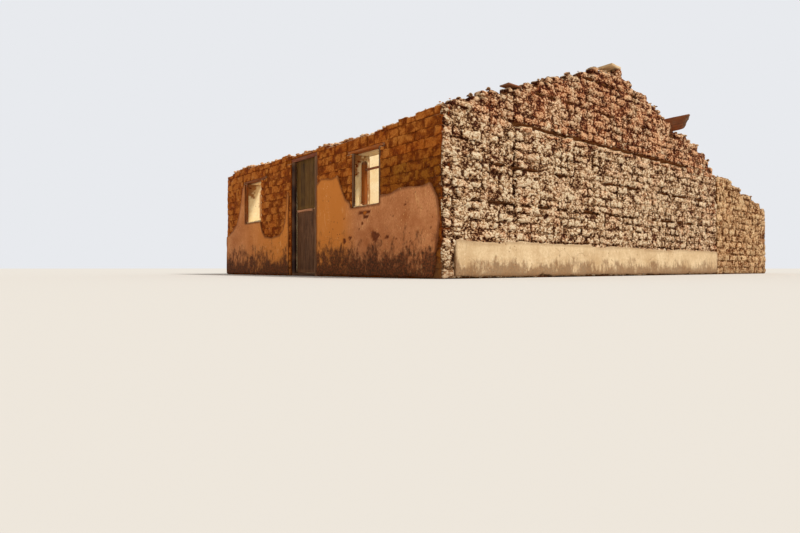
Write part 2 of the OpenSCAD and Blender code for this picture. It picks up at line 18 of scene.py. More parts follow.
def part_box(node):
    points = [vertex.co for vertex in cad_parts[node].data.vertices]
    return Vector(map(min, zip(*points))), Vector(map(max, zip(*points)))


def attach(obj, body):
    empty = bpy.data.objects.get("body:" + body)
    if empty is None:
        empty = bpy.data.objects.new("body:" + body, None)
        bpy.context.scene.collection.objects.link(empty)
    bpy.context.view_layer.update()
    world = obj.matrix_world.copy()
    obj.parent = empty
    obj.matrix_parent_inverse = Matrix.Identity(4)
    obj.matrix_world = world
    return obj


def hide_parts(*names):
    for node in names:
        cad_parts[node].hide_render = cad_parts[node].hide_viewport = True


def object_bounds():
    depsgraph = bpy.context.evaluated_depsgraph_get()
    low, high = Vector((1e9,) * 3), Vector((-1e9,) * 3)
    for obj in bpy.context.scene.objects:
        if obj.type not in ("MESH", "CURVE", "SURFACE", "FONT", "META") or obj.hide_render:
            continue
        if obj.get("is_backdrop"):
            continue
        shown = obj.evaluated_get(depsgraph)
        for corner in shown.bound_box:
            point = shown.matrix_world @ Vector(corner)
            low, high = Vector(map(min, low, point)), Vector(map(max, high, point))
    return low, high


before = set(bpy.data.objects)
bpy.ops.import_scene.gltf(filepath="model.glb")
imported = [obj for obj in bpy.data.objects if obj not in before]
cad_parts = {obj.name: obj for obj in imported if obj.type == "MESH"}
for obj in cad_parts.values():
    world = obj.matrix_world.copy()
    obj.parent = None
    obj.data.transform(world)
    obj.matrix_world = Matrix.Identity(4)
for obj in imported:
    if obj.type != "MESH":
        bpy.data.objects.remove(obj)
PACKED_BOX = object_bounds()

LOG = logging.getLogger("adobe_house")
HOUSE = "house"
VALUES = ("tone", "proud", "warm", "bare")
PIECE_TRIANGLES = 200_000
TINY = 1e-12

Colour = tuple[int, int, int]
Palette = tuple[Colour, Colour, Colour]
Pair = tuple[float, float]
Triple = tuple[float, float, float]
Quad = tuple[float, float, float, float]
Numbers = np.ndarray | float
Fit = Quad  # A brick's start, end, bed and top in its face.
Spot = Quad  # A clod's place and size.
Socket = bpy.types.NodeSocket


def linear(colour: Colour, alpha: float = 1.0) -> Quad:
    """Turns a colour as seen on a screen into the shader's own scale.

    Args:
        colour: Red, green and blue from 0 to 255.
        alpha: Opacity.

    Returns:
        The colour in linear light, with its opacity.
    """
    parts = [c / 255 for c in colour]
    red, green, blue = (p / 12.92 if p <= 0.04045 else ((p + 0.055) / 1.055) ** 2.4 for p in parts)
    return red, green, blue, alpha


def smooth(value: Numbers, low: float, high: float) -> Numbers:
    """Rises softly from 0 at low to 1 at high; low may be the greater one.

    Args:
        value: What is measured.
        low: Where the rise starts.
        high: Where it ends.

    Returns:
        The share of the rise.
    """
    share = np.clip((value - low) / (high - low), 0, 1)
    return share * share * (3 - 2 * share)


def seeded(name: str) -> np.random.Generator:
    """Random numbers that are the same for a name in every run."""
    return np.random.default_rng(zlib.crc32(name.encode()))


class Lumps:
    """Smooth noise from a seeded lattice of random values."""

    CELLS = 32

    def __init__(self, seed: int) -> None:
        """Fills the lattice.

        Args:
            seed: Seed of its values.
        """
        self.lattice = np.random.default_rng(seed).uniform(-1, 1, (self.CELLS,) * 3)

    def at(self, points: np.ndarray, size: float) -> np.ndarray:
        """Noise at some points.

        Args:
            points: Places, with x, y and z on the last axis.
            size: Size of a lump in the points' units.

        Returns:
            Values from -1 to 1, one for each point.
        """
        place = points / size
        cell = np.floor(place).astype(int)
        part = place - cell
        part = part * part * (3 - 2 * part)
        total = np.zeros(points.shape[:-1])
        for corner in np.ndindex(2, 2, 2):
            x, y, z = np.moveaxis((cell + corner) % self.CELLS, -1, 0)
            total += np.where(corner, part, 1 - part).prod(-1) * self.lattice[x, y, z]
        return total

    def rough(self, points: np.ndarray, size: float, layers: int = 3) -> np.ndarray:
        """Noise of several sizes, each half as large and half as strong as the last.

        Args:
            points: Places, with x, y and z on the last axis.
            size: Size of the largest lumps.
            layers: Number of sizes.

        Returns:
            One value for each point.
        """
        return sum(
            self.at(points + 17.3 * layer, size / 2**layer) / 2**layer for layer in range(layers)
        )


NOISE = Lumps(7)


class Side(Enum):
    """Ways that a face looks."""

    RIGHT = (1, 2, 0, 1)
    LEFT = (1, 2, 0, -1)
    FRONT = (0, 2, 1, -1)
    REAR = (0, 2, 1, 1)
    TOP = (0, 1, 2, 1)
    UNDER = (0, 1, 2, -1)

    def __init__(self, along: int, up: int, across: int, sign: int) -> None:
        """Notes the face's axes.

        Args:
            along: Axis that the face runs along.
            up: The face's other axis, upright on a wall.
            across: Axis that the face looks along.
            sign: Which way it looks along that axis.
        """
        self.along, self.up, self.across, self.sign = along, up, across, sign

    @property
    def turned(self) -> bool:
        """Whether polygons drawn in the face's own axes have to be reversed."""
        even = (self.along + 1) % 3 == self.up
        return even != (self.sign > 0)

    @property
    def normal(self) -> Vector:
        """Direction that the face looks in."""
        return Vector([self.sign if axis == self.across else 0.0 for axis in range(3)])

    def plane(self, node: str) -> float:
        """Place of a node's outermost face on this side."""
        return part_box(node)[1 if self.sign > 0 else 0][self.across]

    def place(self, along: Numbers, up: Numbers, out: Numbers, plane: float) -> np.ndarray:
        """Points of the house from places on this face.

        Args:
            along: Places along the face.
            up: Places up the face.
            out: Distances outward from its plane.
            plane: Place of the plane.

        Returns:
            The points, with x, y and z on the last axis.
        """
        along, up, out = np.broadcast_arrays(along, up, out)
        points = np.zeros(along.shape + (3,))
        points[..., self.along] = along
        points[..., self.up] = up
        points[..., self.across] = plane + self.sign * out
        return points


@cache
def solid_mesh(node: str) -> tuple[np.ndarray, np.ndarray]:
    """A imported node's shape, with each of its points once.

    Args:
        node: The node.

    Returns:
        Its points and its triangles.
    """
    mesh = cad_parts[node].data
    points = np.zeros(len(mesh.vertices) * 3)
    mesh.vertices.foreach_get("co", points)
    mesh.calc_loop_triangles()
    triangles = np.zeros(len(mesh.loop_triangles) * 3, np.int32)
    mesh.loop_triangles.foreach_get("vertices", triangles)
    _, first, index = np.unique(
        np.round(points.reshape(-1, 3), 4), axis=0, return_index=True, return_inverse=True
    )
    return points.reshape(-1, 3)[first], index.reshape(-1)[triangles].reshape(-1, 3)


@cache
def islands(node: str) -> list[np.ndarray]:
    """The separate solids of a node.

    Args:
        node: The node.

    Returns:
        The points of each solid's corners.
    """
    points, triangles = solid_mesh(node)
    label = np.arange(len(points))
    while True:
        lowest = label[triangles].min(1)
        fresh = label.copy()
        np.minimum.at(fresh, triangles.ravel(), np.repeat(lowest, 3))
        if (fresh == label).all():
            break
        label = fresh
    return [points[label == value] for value in np.unique(label)]


@cache
def tree_of(node: str) -> BVHTree:
    """A node's surface, ready for rays."""
    points, triangles = solid_mesh(node)
    return BVHTree.FromPolygons(points.tolist(), triangles.tolist())


class Probe:
    """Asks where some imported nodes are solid."""

    STEP = 1e-5
    SEAM = 0.002
    ODD_WAY = Vector((0.0137, 0.0071, 1.0)).normalized()

    def __init__(self, *nodes: str) -> None:
        """Takes the nodes that are asked about together."""
        self.trees = [tree_of(node) for node in nodes]

    def spans(self, start: Vector, way: Vector, reach: float) -> list[Pair]:
        """Stretches of a straight line that lie inside the nodes.

        Args:
            start: Where the line starts, outside them all.
            way: Its direction.
            reach: Its length.

        Returns:
            The start and end of each stretch, as distances along the line.
        """
        found = []
        for tree in self.trees:
            at, entered = 0.0, None
            while at < reach:
                _, normal, _, distance = tree.ray_cast(start + way * at, way, reach - at)
                if normal is None:
                    break
                at += distance
                if normal.dot(way) < 0:
                    entered = at
                elif entered is not None:
                    found.append((entered, at))
                    entered = None
                at += self.STEP
        joined = []
        for low, high in sorted(found):
            if joined and low - joined[-1][1] < self.SEAM:
                joined[-1] = (joined[-1][0], max(high, joined[-1][1]))
            else:
                joined.append((low, high))
        return joined

    def exits(self, point: Vector, way: Vector) -> Iterator[float]:
        """Finds where a line from a point inside the nodes leaves them.

        Args:
            point: The point.
            way: Direction to look in.

        Yields:
            The distance for each node that it leaves.
        """
        for tree in self.trees:
            _, normal, _, distance = tree.ray_cast(point, way)
            if normal is not None and normal.dot(way) > 0:
                yield distance

    def solid(self, point: Vector) -> bool:
        """Whether a point lies inside one of the nodes."""
        return next(self.exits(point, self.ODD_WAY), None) is not None

    def reach(self, point: Vector, way: Vector) -> float:
        """Distance from a point inside a node to the node's surface, or 0."""
        return min(self.exits(point, way), default=0.0)

    def hit(self, point: Vector, way: Vector, reach: float) -> bool:
        """Whether a line of a given reach meets one of the nodes."""
        return any(tree.ray_cast(point, way, reach)[1] is not None for tree in self.trees)


WALL_NODES = tuple(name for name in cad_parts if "wall" in name)
PLASTER_NODES = tuple(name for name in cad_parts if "plaster" in name)
ALL_WALLS = Probe(*WALL_NODES)


class Shell:
    """Points, faces and point values of one piece, before it becomes an object."""

    total = 0

    def __init__(self) -> None:
        """Starts empty."""
        self.points: list[np.ndarray] = []
        self.faces: list[np.ndarray] = []
        self.values: dict[str, list[np.ndarray]] = {name: [] for name in VALUES}
        self.count = 0

    def add(
        self, points: np.ndarray, faces: list[np.ndarray], reverse: bool = False, **values: Numbers
    ) -> None:
        """Adds points and the faces between them.

        Args:
            points: Places, with x, y and z on the last axis.
            faces: Arrays of point numbers, one row for each face.
            reverse: Whether the faces are drawn the wrong way round.
            values: What the finish reads at each point, from VALUES.
        """
        points = points.reshape(-1, 3)
        for group in faces:
            self.faces.append((group[:, ::-1] if reverse else group) + self.count)
        self.points.append(points)
        for name in VALUES:
            value = np.broadcast_to(np.asarray(values.get(name, 0.0), float).ravel(), len(points))
            self.values[name].append(value)
        self.count += len(points)

    @property
    def triangles(self) -> int:
        """Number of triangles that the faces come to."""
        return sum((group.shape[1] - 2) * len(group) for group in self.faces)

    def build(
        self, name: str, finish: "Finish", slot: str, body: str = HOUSE, stands_for: tuple[str, ...] = ()
    ) -> bpy.types.Object:
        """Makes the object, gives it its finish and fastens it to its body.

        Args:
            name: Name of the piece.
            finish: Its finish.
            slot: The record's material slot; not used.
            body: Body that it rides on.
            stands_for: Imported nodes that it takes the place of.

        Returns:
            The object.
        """
        mesh = bpy.data.meshes.new(name)
        points = np.concatenate(self.points)
        mesh.vertices.add(len(points))
        mesh.vertices.foreach_set("co", points.astype(np.float32).ravel())
        corners = np.concatenate([group.ravel() for group in self.faces])
        sizes = np.concatenate([np.full(len(group), group.shape[1]) for group in self.faces])
        mesh.loops.add(len(corners))
        mesh.loops.foreach_set("vertex_index", corners.astype(np.int32))
        mesh.polygons.add(len(sizes))
        starts = np.concatenate([[0], np.cumsum(sizes)[:-1]])
        mesh.polygons.foreach_set("loop_start", starts.astype(np.int32))
        mesh.polygons.foreach_set("use_smooth", np.ones(len(sizes), bool))
        for value, parts in self.values.items():
            attribute = mesh.attributes.new(value, "FLOAT", "POINT")
            attribute.data.foreach_set("value", np.concatenate(parts).astype(np.float32))
        mesh.update(calc_edges=True)
        piece = bpy.data.objects.new(name, mesh)
        bpy.context.scene.collection.objects.link(piece)
        mesh.materials.append(finish.material())
        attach(piece, body)
        if stands_for:
            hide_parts(*stands_for)
        Shell.total += self.triangles
        LOG.info("%s: %d triangles", name, self.triangles)
        if self.triangles > PIECE_TRIANGLES:
            LOG.warning("%s has more than %d triangles", name, PIECE_TRIANGLES)
        return piece


@cache
def block_lattice(counts: tuple[int, int, int], plain_back: bool) -> tuple[np.ndarray, tuple]:
    """Surface lattice of a block.

    Args:
        counts: Numbers of segments along its three axes.
        plain_back: Whether its lowest face on the third axis is one polygon.

    Returns:
        The points' places in whole steps, and the faces in groups.
    """
    numbers: dict[tuple[int, int, int], int] = {}
    quads = []
    for axis in range(3):
        u, v = (axis + 1) % 3, (axis + 2) % 3
        for side in (0, counts[axis]):
            if plain_back and axis == 2 and side == 0:
                continue
            for i, j in np.ndindex(counts[u], counts[v]):
                corners = []
                for a, b in ((0, 0), (1, 0), (1, 1), (0, 1)):
                    place = [0, 0, 0]
                    place[axis], place[u], place[v] = side, i + a, j + b
                    corners.append(numbers.setdefault(tuple(place), len(numbers)))
                quads.append(corners if side else corners[::-1])
    faces = [np.array(quads)]
    if plain_back:
        wide, high = counts[:2]
        rim = [(i, 0) for i in range(wide)] + [(wide, j) for j in range(high)]
        rim += [(i, high) for i in range(wide, 0, -1)] + [(0, j) for j in range(high, 0, -1)]
        faces.append(np.array([[numbers[(i, j, 0)] for i, j in rim[::-1]]]))
    return np.array(list(numbers)), tuple(faces)


def rounded_blocks(
    half: np.ndarray, radius: np.ndarray, counts: tuple[int, int, int], plain_back: bool = False
) -> tuple[np.ndarray, np.ndarray, tuple]:
    """Blocks with rounded edges, about their own middles.

    Args:
        half: Half of each block's three sizes.
        radius: Rounding of each block.
        counts: Segments along the three axes.
        plain_back: Whether the lowest face on the third axis is one polygon.

    Returns:
        The points and their outward directions, one row for each block, and the faces of one block.
    """
    lattice, faces = block_lattice(counts, plain_back)
    inner = half - radius[:, None]
    points = np.zeros((len(half),) + lattice.shape)
    for axis, count in enumerate(counts):
        middle = np.array([0.0]) if count == 2 else np.linspace(-1, 1, max(count - 1, 2))
        for step in range(count + 1):
            chosen = lattice[:, axis] == step
            if step in (0, count):
                place = half[:, axis] * (1 if step else -1)
            else:
                place = inner[:, axis] * middle[step - 1]
            points[:, chosen, axis] = place[:, None]
    core = np.clip(points, -inner[:, None], inner[:, None])
    normals = points - core
    normals /= np.linalg.norm(normals, axis=-1, keepdims=True)
    return core + radius[:, None, None] * normals, normals, faces


def many(faces: tuple, blocks: int, points: int) -> list[np.ndarray]:
    """The faces of several like blocks.

    Args:
        faces: Faces of one block, in groups.
        blocks: Number of blocks.
        points: Number of points in a block.

    Returns:
        The faces of them all, in groups.
    """
    shift = np.arange(blocks)[:, None, None] * points
    return [(group[None] + shift).reshape(-1, group.shape[1]) for group in faces]


class Graph:
    """The nodes of one material, made by short calls."""

    def __init__(self, name: str) -> None:
        """Starts a material with an empty graph.

        Args:
            name: The material's name.
        """
        self.material = bpy.data.materials.new(name)
        self.material.use_nodes = True
        self.nodes = self.material.node_tree.nodes
        self.links = self.material.node_tree.links
        self.nodes.clear()
        self.place = self.put("ShaderNodeTexCoord").outputs["Object"]

    def put(self, kind: str, **inputs: object) -> bpy.types.Node:
        """Adds a node and feeds its inputs.

        Args:
            kind: Type of the node.
            inputs: Values or sockets by the input's name, with _ for a space.

        Returns:
            The node.
        """
        node = self.nodes.new(kind)
        for name, value in inputs.items():
            self.feed(node.inputs[name.replace("_", " ")], value)
        return node

    def feed(self, socket: Socket, value: object) -> None:
        """Links a socket to an input, or sets its value.

        Args:
            socket: The input.
            value: A socket or a plain value.
        """
        if isinstance(value, Socket):
            self.links.new(value, socket)
        else:
            socket.default_value = value

    def value(self, name: str) -> Socket:
        """What the piece says at each point.

        Args:
            name: Which of VALUES.

        Returns:
            The value.
        """
        node = self.put("ShaderNodeAttribute")
        node.attribute_name = name
        return node.outputs["Fac"]

    def noise(
        self, size: float, detail: float = 4, roughness: float = 0.55,
        stretch: Triple = (1, 1, 1), shift: Socket | float = 0.0,
    ) -> Socket:
        """Noise in the object's own place.

        Args:
            size: Size of its lumps in metres.
            detail: Number of finer layers.
            roughness: Strength of the finer layers.
            stretch: How many times longer a lump is along each axis.
            shift: Another place in the noise for each part.

        Returns:
            A value about 0.5.
        """
        spread = self.put("ShaderNodeMapping", Vector=self.place, Scale=[1 / s for s in stretch])
        node = self.put(
            "ShaderNodeTexNoise", Vector=spread.outputs[0], Scale=1 / size, Detail=detail, Roughness=roughness
        )
        node.noise_dimensions = "4D"
        self.feed(node.inputs["W"], shift)
        return node.outputs["Fac"]

    def cells(
        self, size: float, feature: str = "DISTANCE_TO_EDGE", stretch: Triple = (1, 1, 1), wander: float = 0.5
    ) -> Socket:
        """Distance in a pattern of cells.

        Args:
            size: Size of a cell in metres.
            feature: What is measured.
            stretch: How many times longer a cell is along each axis.
            wander: How far the cells' edges wander, in cells.

        Returns:
            The distance.
        """
        spread = self.put("ShaderNodeMapping", Vector=self.place, Scale=[1 / s for s in stretch])
        bend = self.put("ShaderNodeTexNoise", Vector=spread.outputs[0], Scale=1.3 / size, Detail=3.0)
        moved = self.put("ShaderNodeVectorMath", Vector=spread.outputs[0])
        moved.operation = "ADD"
        softer = self.put("ShaderNodeVectorMath")
        softer.operation = "SCALE"
        self.feed(softer.inputs[0], bend.outputs["Color"])
        softer.inputs["Scale"].default_value = wander * size
        self.feed(moved.inputs[1], softer.outputs[0])
        node = self.put("ShaderNodeTexVoronoi", Vector=moved.outputs[0], Scale=1 / size)
        node.feature = feature
        return node.outputs["Distance"]

    def maths(self, kind: str, first: object, second: object = 0.0) -> Socket:
        """A sum or other operation on one or two values.

        Args:
            kind: The operation.
            first: First value.
            second: Second value.

        Returns:
            The result.
        """
        node = self.put("ShaderNodeMath")
        node.operation = kind
        self.feed(node.inputs[0], first)
        self.feed(node.inputs[1], second)
        return node.outputs[0]

    def span(
        self, value: object, low: float, high: float, start: float = 0.0, end: float = 1.0
    ) -> Socket:
        """Runs from start to end while a value runs from low to high.

        Args:
            value: The value.
            low: Where the run begins.
            high: Where it is over.
            start: Result up to there.
            end: Result from there on.

        Returns:
            The result.
        """
        node = self.put("ShaderNodeMapRange")
        node.interpolation_type = "SMOOTHSTEP"
        for socket, item in zip(node.inputs, (value, low, high, start, end)):
            self.feed(socket, item)
        return node.outputs[0]

    def ramp(self, value: object, *stops: tuple[float, Colour]) -> Socket:
        """Colour that changes with a value.

        Args:
            value: What it changes with.
            stops: Places and their colours.

        Returns:
            The colour.
        """
        node = self.put("ShaderNodeValToRGB", Fac=value)
        line = node.color_ramp
        while len(line.elements) < len(stops):
            line.elements.new(1.0)
        for element, (place, colour) in zip(line.elements, stops):
            element.position = place
            element.color = linear(colour)
        return node.outputs["Color"]

    def mix(self, share: object, first: object, second: object, kind: str = "MIX") -> Socket:
        """Mixes two colours.

        Args:
            share: How much of the second one.
            first: A socket or a colour.
            second: A socket or a colour.
            kind: Way of mixing.

        Returns:
            The mixed colour.
        """
        node = self.put("ShaderNodeMix")
        node.data_type = "RGBA"
        node.blend_type = kind
        node.clamp_result = kind != "MIX"
        for number, item in ((0, share), (6, first), (7, second)):
            self.feed(node.inputs[number], linear(item) if isinstance(item, tuple) else item)
        return node.outputs[2]

    def height(self) -> Socket:
        """Height over the ground."""
        return self.put("ShaderNodeSeparateXYZ", Vector=self.place).outputs["Z"]

    def surface(
        self, colour: Socket, relief: Socket, depth: float,
        roughness: object = 0.95, gloss: float = 0.2, metal: object = 0.0,
    ) -> bpy.types.Material:
        """Ends the graph.

        Args:
            colour: Colour of the surface.
            relief: Height of the fine relief, from 0 to 1.
            depth: Depth of that relief in metres.
            roughness: Roughness of the surface.
            gloss: Level of its mirror light.
            metal: How far it is metal.

        Returns:
            The material.
        """
        bump = self.put("ShaderNodeBump", Height=relief, Distance=depth, Strength=1.0)
        shader = self.put(
            "ShaderNodeBsdfPrincipled", Base_Color=colour, Roughness=roughness,
            Specular_IOR_Level=gloss, Metallic=metal, Normal=bump.outputs[0],
        )
        self.put("ShaderNodeOutputMaterial", Surface=shader.outputs[0])
        return self.material


class Finish:
    """A finish, whose material is made once."""

    name: str

    def material(self) -> bpy.types.Material:
        """The material of this finish."""
        title = f"{self.name}_finish"
        return bpy.data.materials.get(title) or self.make(Graph(title))

    def make(self, graph: Graph) -> bpy.types.Material:
        """Draws the finish in an empty graph."""
        raise NotImplementedError


@dataclass(frozen=True)
class Adobe(Finish):
    """Sun-dried brick, worn by rain: dark in its joints and hollows, partly from its mud and partly as
    painted shade, and pale where it stands proud as a painted highlight.
    """

    name: str
    # The dark and pale colours are the two ends of the relief ramp: the dark end is joint mud plus painted
    # shade in hollows, the pale end a painted highlight on proud parts; the warm ramp does the same.
    joint_and_shade: Colour
    face: Colour
    pale: Colour
    warm_joint_and_shade: Colour
    warm_face: Colour
    warm_pale_and_highlight: Colour
    splash: Colour = (92, 66, 44)
    shade: Colour = (214, 208, 202)
    # The dust colour is pale dust on open tops, and also a painted highlight of the lit tops.
    dust: Colour = (250, 212, 166)
    splash_height: float = 0.42
    splash_share: float = 0.5
    mottle: float = 0.045
    blotches: float = 0.46
    crumb: float = 0.055
    crumble: float = 0.2
    streaks: float = 0.0
    pits: float = 0.062

    def make(self, graph: Graph) -> bpy.types.Material:
        """Draws the finish in an empty graph.

        Args:
            graph: The graph.

        Returns:
            The material.
        """
        mottle = graph.noise(self.mottle, 6, 0.7, stretch=(1.25, 1.25, 0.9))
        crumbs = graph.cells(self.crumb, "DISTANCE_TO_EDGE", (1.5, 1.5, 0.9), 1.4)
        crumbs = graph.span(crumbs, 0.0, 0.3)
        relief = graph.maths("ADD", mottle, graph.maths("MULTIPLY", crumbs, self.crumble))
        level = 0.5 + 0.5 * self.crumble
        uneven = graph.span(relief, level - 0.2, level + 0.2, -self.blotches, self.blotches)
        # lift is low in joints, pits and crumb cracks and high on proud faces, so the ramps below paint shade
        # in the hollows and a highlight on the proud parts.
        lift = graph.maths("ADD", graph.value("proud"), uneven)
        cool = graph.ramp(lift, (0.2, self.joint_and_shade), (0.62, self.face), (1.05, self.pale))
        warm = graph.ramp(lift, (0.2, self.warm_joint_and_shade), (0.66, self.warm_face), (1.1, self.warm_pale_and_highlight))
        patches = graph.span(graph.noise(0.45, 4, 0.6), 0.38, 0.62, -0.3, 0.3)
        colour = graph.mix(graph.span(graph.maths("ADD", graph.value("warm"), patches), 0.0, 1.0), cool, warm)
        tint = graph.ramp(graph.value("tone"), (0, self.shade), (1, (255, 255, 255)))
        colour = graph.mix(1.0, colour, tint, "MULTIPLY")
        if self.streaks:
            runs = graph.noise(0.02, 5, 0.75, stretch=(1, 1, 3))
            colour = graph.mix(graph.span(runs, 0.5, 0.68, 0, self.streaks), colour, self.pale)
            colour = graph.mix(graph.span(runs, 0.49, 0.33, 0, 1.4 * self.streaks), colour, self.joint_and_shade)
        speckle = graph.noise(0.009, 3, 0.7)
        colour = graph.mix(graph.span(speckle, 0.58, 0.74, 0, 0.45), colour, self.pale)
        colour = graph.mix(graph.span(speckle, 0.42, 0.30, 0, 0.5), colour, self.joint_and_shade)
        drift = graph.span(graph.noise(0.35, 4, 0.6), 0.3, 0.7, -0.16, 0.16)
        ragged = graph.maths("ADD", graph.height(), drift)
        wet = graph.span(ragged, self.splash_height, 0.1 * self.splash_height, 0, self.splash_share)
        colour = graph.mix(wet, colour, self.splash)
        # bare marks open tops of bricks and clods; the pale dust there is partly a painted highlight of the
        # lit tops.
        dust_and_highlight_share = graph.maths("MULTIPLY", graph.value("bare"), graph.span(mottle, 0.36, 0.56, 0.2, 1.0))
        colour = graph.mix(dust_and_highlight_share, colour, self.dust)
        fine = graph.maths("MULTIPLY", graph.noise(0.02, 4, 0.65), 0.4)
        return graph.surface(colour, graph.maths("ADD", relief, fine), self.pits, 0.97, 0.1)


@dataclass(frozen=True)
class Mortar(Finish):
    """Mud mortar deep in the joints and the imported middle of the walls."""

    name: str
    dark: Colour
    light: Colour

    def make(self, graph: Graph) -> bpy.types.Material:
        """Draws the finish in an empty graph."""
        colour = graph.ramp(graph.noise(0.06, 5, 0.65), (0.32, self.dark), (0.7, self.light))
        return graph.surface(colour, graph.noise(0.02, 4, 0.7), 0.012, 0.98, 0.05)


@dataclass(frozen=True)
class Plaster(Finish):
    """Earth or lime plaster with stains, streaks, fine cracks and bare spots."""

    name: str
    light: Colour
    dark: Colour
    streak: Colour
    bare: Colour
    rim: Colour
    splash: Colour
    splash_height: float = 0.45
    splash_share: float = 0.95
    streaks: float = 0.4
    cracks: float = 0.6
    baked: Colour = (214, 128, 46)

    def make(self, graph: Graph) -> bpy.types.Material:
        """Draws the finish in an empty graph.

        Args:
            graph: The graph.

        Returns:
            The material.
        """
        cloud = graph.noise(0.5, 7, 0.68)
        colour = graph.ramp(cloud, (0.36, self.dark), (0.62, self.light))
        grime = graph.noise(0.035, 5, 0.68)
        colour = graph.mix(graph.span(grime, 0.55, 0.36, 0, 0.55), colour, self.dark)
        colour = graph.mix(graph.maths("MULTIPLY", graph.value("tone"), 0.85), colour, self.baked)
        runs = graph.noise(0.045, 5, 0.7, stretch=(1, 1, 5))
        where = graph.span(graph.noise(0.5, 3), 0.46, 0.6)
        pale = graph.maths("MULTIPLY", graph.span(runs, 0.54, 0.68), where)
        colour = graph.mix(graph.maths("MULTIPLY", pale, self.streaks), colour, self.streak)
        dark = graph.maths("MULTIPLY", graph.span(runs, 0.42, 0.3), where)
        colour = graph.mix(graph.maths("MULTIPLY", dark, 0.7 * self.streaks), colour, self.rim)
        # warm darkens a plaster sheet towards the rim colour near its broken edge: a painted shadow along the
        # edge.
        colour = graph.mix(graph.value("warm"), colour, graph.mix(0.75, colour, self.rim))
        crack = graph.span(graph.cells(0.42), 0.0, 0.012, 1, 0)
        where = graph.span(graph.noise(0.7, 2), 0.5, 0.6, 0, self.cracks)
        crack = graph.maths("MULTIPLY", crack, where)
        colour = graph.mix(crack, colour, self.bare)
        spot = graph.span(graph.cells(0.085, "F1"), 0.2, 0.1, 0, 1)
        spot = graph.maths("MULTIPLY", spot, graph.span(graph.noise(0.4, 3), 0.48, 0.6))
        colour = graph.mix(graph.maths("MULTIPLY", spot, 0.8), colour, self.bare)
        chips = graph.span(graph.noise(0.024, 4, 0.65, stretch=(1, 1, 2.2)), 0.58, 0.66)
        chips = graph.maths("MULTIPLY", chips, graph.span(graph.noise(0.4, 4, shift=3.0), 0.42, 0.6))
        colour = graph.mix(graph.maths("MULTIPLY", chips, 0.85), colour, self.streak)
        reach = 0.4 * self.splash_height
        drips = graph.noise(0.07, 6, 0.72, stretch=(1, 1, 2.5))
        broad = graph.span(graph.noise(0.3, 5, 0.65), 0.3, 0.7, -reach, reach)
        ragged = graph.maths("ADD", graph.height(), graph.span(drips, 0.3, 0.7, 0.8 * reach, -0.8 * reach))
        ragged = graph.maths("ADD", ragged, broad)
        wet = graph.span(ragged, self.splash_height, 0.3 * self.splash_height, 0, self.splash_share)
        mud = graph.mix(graph.span(graph.noise(0.035, 5, 0.7, shift=5.0), 0.42, 0.62), self.splash, self.bare)
        colour = graph.mix(wet, colour, mud)
        rough = graph.ramp(grime, (0.35, self.rim), (0.65, self.bare))
        colour = graph.mix(graph.value("bare"), colour, rough)
        fine = graph.noise(0.006, 3, 0.6)
        relief = graph.maths("ADD", graph.noise(0.09, 5, 0.6), graph.maths("MULTIPLY", fine, 0.35))
        hollow = graph.maths("MULTIPLY", graph.maths("ADD", crack, spot), 0.8)
        relief = graph.maths("SUBTRACT", relief, hollow)
        return graph.surface(colour, relief, 0.004, graph.span(cloud, 0.3, 0.7, 0.82, 0.95), 0.18)


@dataclass(frozen=True)
class Wood(Finish):
    """Weathered timber: grain, checks and what is left of its paint."""

    name: str
    dark: Colour
    mid: Colour
    light: Colour
    grain: int = 2
    worn: Colour = (128, 104, 82)
    worn_share: float = 0.25
    shade: Colour = (196, 192, 186)

    def make(self, graph: Graph) -> bpy.types.Material:
        """Draws the finish in an empty graph.

        Args:
            graph: The graph.

        Returns:
            The material.
        """
        stretch = tuple(26.0 if axis == self.grain else 1.0 for axis in range(3))
        shift = graph.maths("MULTIPLY", graph.value("tone"), 40.0)
        lines = graph.noise(0.012, 5, 0.6, stretch, shift)
        broad = graph.noise(0.06, 4, 0.6, tuple(8.0 if s > 1 else 1.0 for s in stretch), shift)
        colour = graph.ramp(lines, (0.3, self.dark), (0.5, self.mid), (0.68, self.light))
        colour = graph.mix(graph.span(broad, 0.42, 0.62, 0, 0.7), colour, self.mid)
        worn = graph.span(graph.noise(0.1, 6, 0.7, shift=shift), 0.52, 0.62, 0, self.worn_share)
        colour = graph.mix(worn, colour, self.worn)
        tint = graph.ramp(graph.value("tone"), (0, self.shade), (1, (255, 255, 255)))
        colour = graph.mix(1.0, colour, tint, "MULTIPLY")
        check = graph.span(graph.noise(0.02, 2, 0.4, tuple(2 * s for s in stretch), shift), 0.36, 0.31)
        colour = graph.mix(graph.maths("MULTIPLY", check, 0.8), colour, self.dark)
        colour = graph.mix(graph.value("bare"), colour, self.worn)
        relief = graph.maths("SUBTRACT", lines, graph.maths("MULTIPLY", check, 0.8))
        return graph.surface(colour, relief, 0.003, graph.span(lines, 0.3, 0.7, 0.9, 0.7), 0.25)


@dataclass(frozen=True)
class Iron(Finish):
    """Old hinge iron under brown rust."""

    name: str
    dark: Colour = (44, 30, 25)
    rust: Colour = (104, 56, 32)
    bright: Colour = (140, 84, 48)

    def make(self, graph: Graph) -> bpy.types.Material:
        """Draws the finish in an empty graph.

        Args:
            graph: The graph.

        Returns:
            The material.
        """
        blotch = graph.noise(0.02, 6, 0.7)
        colour = graph.ramp(blotch, (0.35, self.dark), (0.52, self.rust), (0.72, self.bright))
        metal = graph.span(blotch, 0.4, 0.3, 0, 0.7)
        return graph.surface(colour, graph.noise(0.004, 4, 0.7), 0.0012, 0.82, 0.35, metal)


